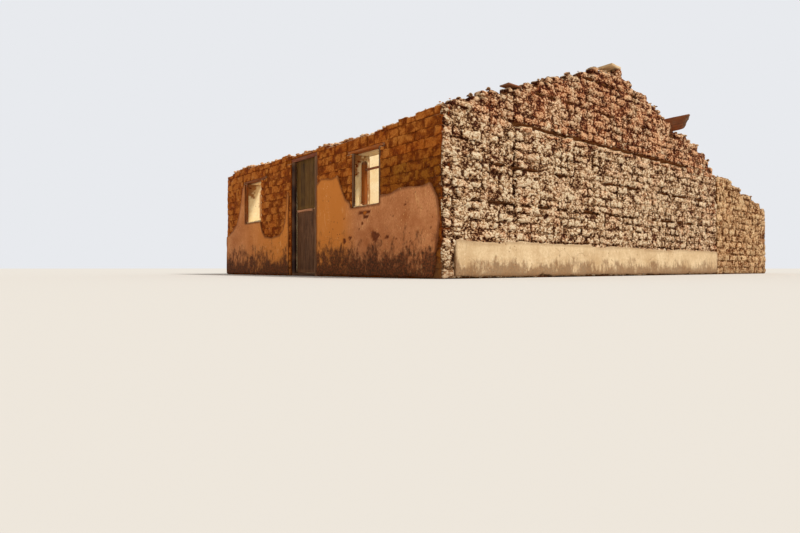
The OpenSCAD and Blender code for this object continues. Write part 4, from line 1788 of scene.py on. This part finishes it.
def dress_node(node: str, finish: Finish) -> None:
    """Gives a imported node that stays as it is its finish.

    Args:
        node: The node.
        finish: The finish.
    """
    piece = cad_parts[node]
    piece.data.materials.clear()
    piece.data.materials.append(finish.material())
    LOG.info("%s: kept, finish %s", node, finish.name)


@dataclass
class Walls:
    """All the walls: their cores and their faces of bricks."""

    gable_back: float = 0.045
    room_back: float = 0.04
    front_back: float = 0.013
    inner_back: float = 0.03
    overlap: float = -0.06
    sides: tuple[tuple[str, Side, Side], ...] = (
        ("right", Side.RIGHT, Side.LEFT), ("left", Side.LEFT, Side.RIGHT)
    )

    def cores(self) -> list[WallCore]:
        """The middles of the walls, by how far each face lies back.

        Returns:
            The cores.
        """
        over, front, inner = self.overlap, self.front_back, self.inner_back
        cores = [
            WallCore(f"{word}_gable_wall", GABLE_MORTAR,
                     {out: self.gable_back, into: inner, Side.FRONT: front, Side.REAR: inner})
            for word, out, into in self.sides
        ]
        cores += [
            WallCore(f"front_wall_{word}", FRONT_MORTAR,
                     {Side.FRONT: front, Side.REAR: inner, out: over, into: 0.0}, inner=0.006)
            for word, out, into in self.sides
        ]
        bridge = {Side.REAR: inner, Side.LEFT: over, Side.RIGHT: over}
        cores += [
            WallCore("front_wall_over_door", FRONT_MORTAR, bridge | {Side.FRONT: front}, top=0.02),
            WallCore("rear_wall_over_doorway", GABLE_MORTAR, bridge | {Side.FRONT: inner}),
        ]
        for word, out, into in self.sides:
            cores += [
                WallCore(f"rear_wall_{word}", GABLE_MORTAR,
                         {Side.FRONT: inner, Side.REAR: inner, out: over, into: inner}),
                WallCore(f"back_room_{word}_wall", GABLE_MORTAR,
                         {out: self.room_back, into: inner, Side.FRONT: over, Side.REAR: inner}),
                WallCore(f"back_room_end_wall_{word}", GABLE_MORTAR,
                         {Side.FRONT: inner, Side.REAR: self.room_back, out: over, into: inner}),
            ]
        return cores

    def main_faces(self) -> list[BrickFace]:
        """The brick faces of the main house, outside and inside.

        Returns:
            The faces.
        """
        front = ("front_wall_left", "front_wall_over_door", "front_wall_right")
        rear = ("rear_wall_left", "rear_wall_over_doorway", "rear_wall_right")
        gables = ("left_gable_wall", "right_gable_wall")
        faces = []
        for (word, out, into), bond in zip(self.sides, (WEATHERED, WEATHERED_PLAIN)):
            for ending, side, laid in (("outer", out, bond), ("inner", into, INNER)):
                faces.append(BrickFace(f"{word}_gable_{ending}", (f"{word}_gable_wall",), side, laid,
                                       GABLE_ADOBE, Zone.GABLE, (0.024, 0.0)))
        for word, trim in (("right", (0.0, 0.03)), ("left", (0.03, 0.0))):
            faces.append(BrickFace(f"front_{word}_outer", (f"front_wall_{word}", f"{word}_gable_wall"),
                                   Side.FRONT, SHELTERED, SHADED_FRONT_ADOBE, Zone.FRONT, trim, 0.08))
        faces += [
            BrickFace("over_door_outer", front[1:2], Side.FRONT, SHELTERED, SHADED_FRONT_ADOBE, Zone.FRONT),
            BrickFace("front_inner", front, Side.REAR, INNER, GABLE_ADOBE),
            BrickFace("rear_outer", rear + gables, Side.REAR, INNER, GABLE_ADOBE, trim=(0.03, 0.03)),
            BrickFace("rear_inner", rear, Side.FRONT, INNER, GABLE_ADOBE),
        ]
        return faces

    def room_faces(self) -> list[BrickFace]:
        """The brick faces of the back room, outside and inside.

        Returns:
            The faces.
        """
        faces = []
        for (word, out, into), bond, trim in zip(self.sides, (BACK, BACK_PLAIN), ((0.03, 0.0), (0.0, 0.0))):
            walls = (f"back_room_{word}_wall",)
            faces += [
                BrickFace(f"back_{word}_outer", walls, out, bond, BACK_ADOBE, trim=trim),
                BrickFace(f"back_{word}_inner", walls, into, BACK_PLAIN, BACK_ADOBE),
            ]
        for word, trim in (("right", (0.0, 0.02)), ("left", (0.02, 0.0))):
            walls = (f"back_room_end_wall_{word}", f"back_room_{word}_wall")
            faces.append(BrickFace(f"back_end_{word}_outer", walls, Side.REAR, BACK, BACK_ADOBE, trim=trim))
        for word, *_ in self.sides:
            faces.append(BrickFace(f"back_end_{word}_inner", (f"back_room_end_wall_{word}",),
                                   Side.FRONT, BACK_PLAIN, BACK_ADOBE))
        return faces

    def joint_mud(self) -> None:
        """Builds the mud that fills the joints behind the outermost bricks."""
        for name, node, side, finish, cell in (
            ("right_gable", "right_gable_wall", Side.RIGHT, GABLE_ADOBE, 0.055),
            ("left_gable", "left_gable_wall", Side.LEFT, GABLE_ADOBE, 0.13),
            ("back_right", "back_room_right_wall", Side.RIGHT, BACK_ADOBE, 0.06),
            ("back_left", "back_room_left_wall", Side.LEFT, BACK_ADOBE, 0.1),
        ):
            Sheet(f"{name}_joint_mud", outline_of(node, side), side, side.plane(node), finish,
                  wall_slot(node), cell, ragged=0.03, thickness=-0.022, root=0.06, waves=0.02, wave_size=0.12,
                  rim_warmth=0.0, root_bare=0.0, tone=0.8, warm_above=2.6).dress()

    def dress(self) -> None:
        """Builds every core, every face and the mud in the joints."""
        for part in self.cores() + self.main_faces() + self.room_faces():
            part.dress()
        self.joint_mud()


@dataclass
class PlasterCoats:
    """The plaster left on the walls, outside and inside."""

    def spalls(self) -> tuple[Spall, ...]:
        """Spots on the front, right of the door, where the plaster has come off.

        Returns:
            The spots.
        """
        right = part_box("right_gable_wall")[1].x
        broad = ((1.65, 0.71, 0.115, 0.091), (1.31, 0.69, 0.059, 0.031), (2.41, 0.71, 0.049, 0.042))
        under_window = ((1.96, 1.14, 0.176, 0.035), (1.91, 1.06, 0.075, 0.030))
        by_door = ((2.60, 0.65, 0.045, 0.055), (2.60, 1.07, 0.028, 0.025))
        chips = (
            (0.53, 0.71, 0.032, 0.021), (0.23, 0.78, 0.022, 0.018), (0.83, 1.18, 0.025, 0.014),
            (1.13, 1.01, 0.022, 0.016), (2.03, 0.95, 0.031, 0.024), (2.11, 0.85, 0.031, 0.030),
            (0.71, 0.58, 0.029, 0.016), (0.81, 0.50, 0.033, 0.027), (1.07, 0.63, 0.026, 0.014),
        )
        spots = broad + under_window + by_door + chips
        return tuple(Spall(right - from_corner, up, wide, high) for from_corner, up, wide, high in spots)

    def dress(self) -> None:
        """Builds every coat."""
        front = dict(cell=0.027, ragged=0.022, root=0.012, waves=0.003, rim_warmth=1.35)
        post_lo, post_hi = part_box("door_posts")
        Sheet.of_node("front_plaster_right", Side.FRONT, FRONT_PLASTER, "front_plaster",
                      spalls=self.spalls(), baked_from=(post_hi.x + 1.5, post_hi.x + 0.8), **front).dress()
        Sheet.of_node("front_plaster_left", Side.FRONT, FRONT_PLASTER, "front_plaster",
                      baked_from=(post_lo.x - 3.5, post_lo.x - 0.3), **front).dress()
        for side in (Side.RIGHT, Side.LEFT):
            Sheet.of_node(f"{side.name.lower()}_side_plaster", side, SIDE_PLASTER, "side_plaster",
                          cell=0.04, ragged=0.03, root=0.045).dress()
        looks = {"right": Side.LEFT, "left": Side.RIGHT, "front": Side.REAR, "rear": Side.FRONT}
        for word, side in looks.items():
            Sheet.of_node(f"inner_plaster_{word}", side, INNER_PLASTER, "inner_plaster",
                          cell=0.09, ragged=0.02, root=0.025).dress()
        self.reveals()

    @staticmethod
    def patch(name: str, low: Pair, high: Pair, side: Side, plane: float, **more: object) -> None:
        """Builds a coat of inner plaster with a straight outline.

        Args:
            name: Name of the piece.
            low: Its lowest place along and up.
            high: Its highest place along and up.
            side: Side that it looks to.
            plane: Place of the face it covers.
            more: Other fields of the sheet.
        """
        (left, foot), (right, head) = low, high
        corners = np.array([(left, foot), (right, foot), (right, head), (left, head)])
        outline = np.stack([corners, np.roll(corners, -1, 0)], 1)
        more = dict(cell=0.03, root=0.01) | more
        Sheet(name, outline, side, plane, INNER_PLASTER, "inner_plaster", **more).dress()

    def reveals(self) -> None:
        """Builds the coats inside the window openings and behind the door frame."""
        wall_lo, wall_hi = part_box("front_wall_right")
        for word, jambs in (("right", "right_window_jambs"), ("left", "left_window_jamb")):
            lo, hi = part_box(jambs)
            wall = f"front_wall_{word}"
            start = Vector((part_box(wall)[0].x - 1, wall_lo.y + 0.2, (lo.z + hi.z) / 2))
            spans = Probe(wall).spans(start, Vector((1, 0, 0)), 12)
            left, right = start.x + spans[0][1], start.x + spans[1][0]
            # Two bare patches on each window's left reveal are painted shadows: the lintel's shadow over its
            # top front corner, and the stump's shadow in a strip near its inner edge.
            lintel_and_stump_shadows = (Spall(hi.y, hi.z, 0.24, 0.36), Spall(wall_hi.y, lo.z + 0.45, 0.05, 0.5))
            for plane, side, name, spalls in (
                (left, Side.RIGHT, "left", lintel_and_stump_shadows), (right, Side.LEFT, "right", ())
            ):
                self.patch(f"{word}_window_{name}_reveal", (hi.y - 0.002, lo.z), (wall_hi.y, hi.z), side,
                           plane, ragged=0.006, thickness=0.009, spalls=spalls)
            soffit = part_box(f"{word}_window_lintel")[0].z
            self.patch(f"{word}_window_soffit", (left, wall_lo.y + 0.12), (right, wall_hi.y), Side.UNDER,
                       soffit, ragged=0.02, thickness=0.012)
            self.patch(f"{word}_window_sill_coat", (left, wall_lo.y), (right, wall_hi.y), Side.TOP,
                       lo.z, ragged=0.015, thickness=0.006, root=0.02, waves=0.006)
        post_lo, post_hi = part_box("door_posts")
        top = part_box("door_inner_lintel")[0].z
        for plane, side, name in ((post_lo.x, Side.RIGHT, "left"), (post_hi.x, Side.LEFT, "right")):
            self.patch(f"doorway_{name}_reveal", (post_hi.y, 0.06), (wall_hi.y, top), side, plane,
                       cell=0.04, ragged=0.008, thickness=0.009)


@dataclass
class Floors:
    """The earth floors of the two rooms."""

    def dress(self) -> None:
        """Builds both floors."""
        for node in ("main_floor", "back_room_floor"):
            Sheet.of_node(node, Side.TOP, FLOOR_EARTH, "earth_floor", "earth",
                          cell=0.19, ragged=0.0, root=0.0, waves=0.006, rim_warmth=0.0).dress()


OLIVE = ((44, 24, 4), (98, 64, 18), (124, 90, 34))
BROWN = ((54, 28, 10), (108, 68, 36), (158, 108, 72))
REDDISH = ((96, 36, 12), (150, 78, 46), (190, 120, 86))
GREYED = ((62, 34, 16), (110, 70, 38), (144, 106, 76))
RUSSET = ((104, 42, 2), (158, 82, 16), (200, 112, 40))
BURNT = ((66, 24, 8), (152, 84, 44), (196, 130, 86))
FADED = ((124, 70, 40), (202, 136, 94), (232, 176, 134))
OCHRE = ((124, 56, 4), (188, 100, 14), (224, 136, 44))


@dataclass
class Nails:
    """Nail heads on the face of a leaf, in two rows at each ledge."""

    name: str
    boards: str
    ledges: str
    body: str
    radius: float = 0.0055
    lift: float = 0.02

    def dress(self) -> None:
        """Builds the heads as one piece."""
        shell = Shell()
        draw = seeded(self.name)
        ball = bmesh.new()
        bmesh.ops.create_uvsphere(ball, u_segments=8, v_segments=6, radius=self.radius)
        points = np.array([v.co for v in ball.verts])
        faces = [
            np.array([[v.index for v in f.verts] for f in ball.faces if len(f.verts) == count])
            for count in (3, 4)
        ]
        ball.free()
        for board in islands(self.boards):
            low, high = board.min(0), board.max(0)
            for ledge in islands(self.ledges):
                z = (ledge[:, 2].min() + ledge[:, 2].max()) / 2
                for share, lift in ((0.3, self.lift), (0.7, -self.lift)):
                    at = (low[0] + share * (high[0] - low[0]), low[1], z + lift + draw.uniform(-0.006, 0.006))
                    shell.add(points * (1, 0.5, 1) + at, faces, tone=draw.random(), proud=1.0)
        shell.build(self.name, IRON, "hinge_iron", self.body)


@dataclass
class DoorLeaf:
    """One leaf of the split door: boards, ledges, straps and nails."""

    word: str
    colours: Palette
    slot: str

    def dress(self) -> None:
        """Builds the leaf on its own body."""
        body = f"{self.word}_leaf"
        boards, ledges = f"{body}_boards", f"{body}_ledges"
        Timbers(boards, wood(f"{self.word}_board", self.colours, 2, worn=self.colours[2]), self.slot, body,
                rounding=0.005, wear=0.0014, bow=0.004).dress()
        Timbers(ledges, wood("ledge", GREYED, 0), "ledge_wood", body).dress()
        Nails(f"{body}_nails", boards, ledges, body).dress()
        dress_node(f"{body}_straps", IRON)
        if self.word == "lower":
            Timbers("lower_leaf_rail", wood("rail", FADED, 0), "rail_wood", body).dress()


@dataclass
class DoorFrame:
    """Posts, head, inner lintel, sill and hinge pins of the door."""

    def dress(self) -> None:
        """Builds the frame."""
        posts_lit_and_shaded = wood("post", GREYED, 2, shade=(84, 44, 32), worn=(150, 104, 66))
        # The left post gets tone 0.05, so its shade colour makes it near black: painted shade of the deep
        # shadow it stood in, with some burnt staining; the right post is the lit copy.
        Timbers("door_posts", posts_lit_and_shaded, "frame_wood", rounding=0.009, wear=0.004, tones=(0.05, 0.95)).dress()
        Timbers("door_head", wood("head", REDDISH, 0), "lintel_wood", rounding=0.009, wear=0.004).dress()
        Timbers("door_inner_lintel", wood("lintel", RUSSET, 0), "lintel_wood", wear=0.003).dress()
        dress_node("door_sill", wood("sill", GREYED, 0))
        dress_node("door_hinge_pins", IRON)


@dataclass
class Windows:
    """Lintels, jambs and broken frame parts of the two windows, and the rear doorway's lintel."""

    def dress(self) -> None:
        """Builds what is left of the windows, and the lintel."""
        lintel = wood("lintel", RUSSET, 0)
        for word in ("right", "left"):
            Timbers(f"{word}_window_lintel", lintel, "lintel_wood", wear=0.004, broken=0.02).dress()
        Timbers("right_window_jambs", wood("jamb", GREYED, 2), "frame_wood", wear=0.003).dress()
        Timbers("left_window_jamb", wood("jamb_red", RUSSET, 2), "lintel_wood", wear=0.003).dress()
        Timbers("right_window_post_stump", wood("stump", OCHRE, 2), "frame_wood",
                rounding=0.01, wear=0.006, broken=0.05).dress()
        Timbers("right_window_bar", wood("bar", BURNT, 0), "frame_wood", rounding=0.008, wear=0.004).dress()
        Timbers("rear_doorway_lintel", lintel, "lintel_wood", wear=0.004).dress()


@dataclass
class GableRemains:
    """What is left on the gables: a beam stub, loose bricks, a board and a slab."""

    def dress(self) -> None:
        """Builds the remains."""
        Timbers("roof_beam_stub", wood("beam", BURNT, 0), "beam_wood",
                rounding=0.036, wear=0.012, broken=0.05, rake=0.15).dress()
        Timbers("gable_top_board", wood("board", BURNT, 1), "frame_wood", wear=0.005, broken=0.03).dress()
        self.lumps("loose_gable_bricks", GABLE_ADOBE, "adobe_gable", 0.03, 0.6)
        self.lumps("gable_top_slab", SIDE_PLASTER, "side_plaster", 0.014, 0.0)

    @staticmethod
    def lumps(node: str, finish: Finish, slot: str, radius: float, warm: float) -> None:
        """Builds loose blocks, rounded by the rain.

        Args:
            node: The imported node.
            finish: Its finish.
            slot: The record's slot.
            radius: Rounding of the edges.
            warm: Warmth of the colour.
        """
        shell = Shell()
        for corners in islands(node):
            half = (corners.max(0) - corners.min(0)) / 2
            middle = (corners.max(0) + corners.min(0)) / 2
            points, normals, faces = rounded_blocks(
                half[None], np.array([min(radius, 0.7 * half.min())]), (10, 12, 6)
            )
            spot = points[0] + middle
            dent = NOISE.rough(spot, 0.12, 3) * radius * 0.35
            spot = spot + normals[0] * np.minimum(dent - 0.1 * radius, 0.004)[:, None]
            tone = 0.0 if isinstance(finish, Plaster) else 0.8
            shell.add(spot, many(faces, 1, len(spot)), tone=tone, warm=warm, proud=0.75)
        shell.build(f"{node}_worn", finish, slot, stands_for=(node,))


@dataclass
class Rubble:
    """Clods and crumbs left on the wall tops and the window sills."""

    margin: float = 0.04
    above: float = 6.0
    sunk: float = 0.014
    outward: float = 0.35
    sizes: Pair = (0.016, 0.05)
    sill_sizes: Pair = (0.02, 0.05)

    @staticmethod
    def clods(spots: list[Spot], name: str, finish: Finish, slot: str,
              dust_and_highlight_heights: Pair = (0.0, 0.7)) -> None:
        """Builds clods at some places.

        Args:
            spots: Place and size of each clod.
            name: Name of the piece.
            finish: Its finish.
            slot: The record's slot.
            dust_and_highlight_heights: Heights between which the pale dust on a clod, partly a painted
                highlight of its lit top, begins and is full.
        """
        draw = seeded(name)
        ball = bmesh.new()
        bmesh.ops.create_icosphere(ball, subdivisions=2, radius=1.0)
        unit = np.array([v.co for v in ball.verts])
        faces = [np.array([[v.index for v in f.verts] for f in ball.faces])]
        ball.free()
        shell = Shell()
        for x, y, z, size in spots:
            shape = np.array([1.0, draw.uniform(0.6, 1.0), draw.uniform(0.45, 0.75)]) * size
            turn = draw.uniform(0, math.pi)
            points = unit * (1 + 0.35 * NOISE.rough(unit + draw.uniform(0, 30, 3), 0.9, 2)[:, None]) * shape
            cosine, sine = math.cos(turn), math.sin(turn)
            points = points @ np.array([[cosine, sine, 0], [-sine, cosine, 0], [0, 0, 1]])
            tone = 0.0 if isinstance(finish, Plaster) else draw.uniform(0.5, 1)
            shell.add(points + (x, y, z + 0.3 * shape[2]), faces, tone=tone,
                      warm=draw.uniform(0, 0.9), proud=draw.uniform(0.35, 1.0),
                      # bare paints the upper part of a clod pale: dust, and a painted highlight of its lit
                      # top.
                      bare=smooth(points[:, 2] / shape[2], *dust_and_highlight_heights) * draw.uniform(0.2, 1) * (tone > 0))
        shell.build(name, finish, slot)

    def on_tops(self, node: str, count: int) -> list[Spot]:
        """Places on the worn top of a wall.

        Args:
            node: The wall.
            count: Number of clods.

        Returns:
            Place and size of each.
        """
        draw = seeded(f"{node}_clods")
        lo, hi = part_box(node)
        tree = tree_of(node)
        spots = []
        for number in range(count):
            x = draw.uniform(lo.x + self.margin, hi.x - self.margin)
            y = draw.uniform(lo.y + self.margin, hi.y - self.margin)
            if number % 2:
                x, y = self.at_edge(x, y, lo, hi)
            hit = tree.ray_cast(Vector((x, y, self.above)), Vector((0, 0, -1)))[0]
            if hit is not None:
                spots.append((x, y, hit.z - self.sunk, draw.uniform(*self.sizes)))
        return spots

    def at_edge(self, x: float, y: float, lo: Vector, hi: Vector) -> Pair:
        """Moves a place on a wall's top near the wall's outer face.

        Args:
            x: Place across the house.
            y: Place into its depth.
            lo: The wall's lowest corner.
            hi: Its highest corner.

        Returns:
            The new place.
        """
        if hi.x - lo.x > hi.y - lo.y:
            outer = lo.y if lo.y < 0 else hi.y
            return x, outer + self.outward * (y - outer)
        outer = lo.x if lo.x < 0 else hi.x
        return outer + self.outward * (x - outer), y

    def on_sill(self, word: str, count: int) -> list[Spot]:
        """Places on the sill of a window.

        Args:
            word: Which window.
            count: Number of clods.

        Returns:
            Place and size of each.
        """
        draw = seeded(f"{word}_sill")
        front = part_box(f"{word}_window_lintel")[0].y
        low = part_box("right_window_jambs" if word == "right" else "left_window_jamb")[0]
        return [
            (draw.uniform(low.x + 0.06, low.x + 0.76), draw.uniform(front + self.margin, front + 0.3),
             low.z, draw.uniform(*self.sill_sizes))
            for _ in range(count)
        ]

    def dress(self) -> None:
        """Builds the clods."""
        house = {"front_wall_right": 170, "front_wall_left": 150, "front_wall_over_door": 40,
                 "rear_wall_right": 30, "rear_wall_left": 30}
        gables = {"right_gable_wall": 260, "left_gable_wall": 110}
        room = {"back_room_right_wall": 40, "back_room_left_wall": 30,
                "back_room_end_wall_right": 20, "back_room_end_wall_left": 20}
        for name, counts, *more in (
            # The front clods are pale over all but their undersides: dust, and a painted highlight where the
            # sun caught the front's top edge.
            ("front_top_clods", house, SHADED_FRONT_ADOBE, "adobe_front", (-1.0, -0.2)),
            ("gable_top_clods", gables, GABLE_ADOBE, "adobe_gable"),
            ("back_top_clods", room, BACK_ADOBE, "adobe_back"),
        ):
            tops = [spot for node, count in counts.items() for spot in self.on_tops(node, count)]
            self.clods(tops, name, *more)
        self.clods(self.on_sill("left", 34), "left_sill_rubble", INNER_PLASTER, "inner_plaster")
        self.clods(self.on_sill("right", 5), "right_sill_rubble", SHADED_FRONT_ADOBE, "adobe_front")


@dataclass
class Studio:
    """Camera, pale floor and soft light."""

    eye: Triple = (10.067, -10.578, 0.164)
    look: Triple = (-0.77564, 0.63117, 0.0027)
    lens: float = 24.885
    sensor: float = 36.0
    sight: float = 400.0
    floor_colour: Colour = (207, 203, 197)
    backdrop: Colour = (232, 234, 238)
    sky_strength: float = 0.62
    sky_light: Quad = (1.0, 0.98, 0.95, 1.0)
    sun_strength: float = 2.95
    sun_width: float = 10.0
    sun_light: Triple = (1.0, 0.97, 0.92)
    sun_from: Triple = (0.52, 0.29, 0.80)
    floor_reach: float = 180.0
    floor_top: float = -0.001

    def camera(self) -> None:
        """Places the camera where the house was seen from."""
        data = bpy.data.cameras.new("view")
        data.lens = self.lens
        data.sensor_width = self.sensor
        data.clip_end = self.sight
        camera = bpy.data.objects.new("view", data)
        camera.location = self.eye
        camera.rotation_mode = "QUATERNION"
        camera.rotation_quaternion = Vector(self.look).to_track_quat("-Z", "Y")
        bpy.context.scene.collection.objects.link(camera)
        bpy.context.scene.camera = camera

    def floor(self) -> None:
        """Lays a wide pale floor."""
        mesh = bpy.data.meshes.new("studio_floor")
        reach, z = self.floor_reach, self.floor_top
        corners = [(-reach, -reach, z), (reach, -reach, z), (reach, reach, z), (-reach, reach, z)]
        mesh.from_pydata(corners, [], [(0, 1, 2, 3)])
        floor = bpy.data.objects.new("studio_floor", mesh)
        bpy.context.scene.collection.objects.link(floor)
        graph = Graph("studio_floor")
        shader = graph.put("ShaderNodeBsdfDiffuse", Color=linear(self.floor_colour), Roughness=0.0)
        graph.put("ShaderNodeOutputMaterial", Surface=shader.outputs[0])
        mesh.materials.append(graph.material)
        floor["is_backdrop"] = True

    def light(self) -> None:
        """Lights the house by a pale sky and one soft lamp from the right."""
        lamp = bpy.data.lights.new("key", "SUN")
        lamp.energy = self.sun_strength
        lamp.angle = math.radians(self.sun_width)
        lamp.color = self.sun_light
        key = bpy.data.objects.new("key", lamp)
        key.rotation_mode = "QUATERNION"
        key.rotation_quaternion = (-Vector(self.sun_from)).to_track_quat("-Z", "Y")
        bpy.context.scene.collection.objects.link(key)
        world = bpy.data.worlds.new("sky")
        world.use_nodes = True
        nodes, links = world.node_tree.nodes, world.node_tree.links
        nodes.clear()
        seen, fill = nodes.new("ShaderNodeBackground"), nodes.new("ShaderNodeBackground")
        seen.inputs["Color"].default_value = linear(self.backdrop)
        fill.inputs["Color"].default_value = self.sky_light
        fill.inputs["Strength"].default_value = self.sky_strength
        path, mix = nodes.new("ShaderNodeLightPath"), nodes.new("ShaderNodeMixShader")
        links.new(path.outputs["Is Camera Ray"], mix.inputs[0])
        links.new(fill.outputs[0], mix.inputs[1])
        links.new(seen.outputs[0], mix.inputs[2])
        links.new(mix.outputs[0], nodes.new("ShaderNodeOutputWorld").inputs[0])
        bpy.context.scene.world = world

    def dress(self) -> None:
        """Sets the studio up."""
        self.camera()
        self.floor()
        self.light()
        bpy.context.scene.view_settings.view_transform = "Standard"


def main() -> None:
    """Builds the house and the studio, and logs the number of triangles."""
    logging.basicConfig(level=logging.INFO, format="%(message)s")
    parts = (
        Studio(),
        Walls(),
        PlasterCoats(),
        Floors(),
        DoorFrame(),
        DoorLeaf("upper", OLIVE, "upper_leaf_wood"),
        DoorLeaf("lower", BROWN, "lower_leaf_wood"),
        Windows(),
        GableRemains(),
        Rubble(),
    )
    for part in parts:
        part.dress()
    LOG.info("all pieces: %d triangles", Shell.total)
    boxes = {"packed": PACKED_BOX, "dressed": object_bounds()}
    {name: [list(corner) for corner in box] for name, box in boxes.items()}


if __name__ == "__main__":
    main()
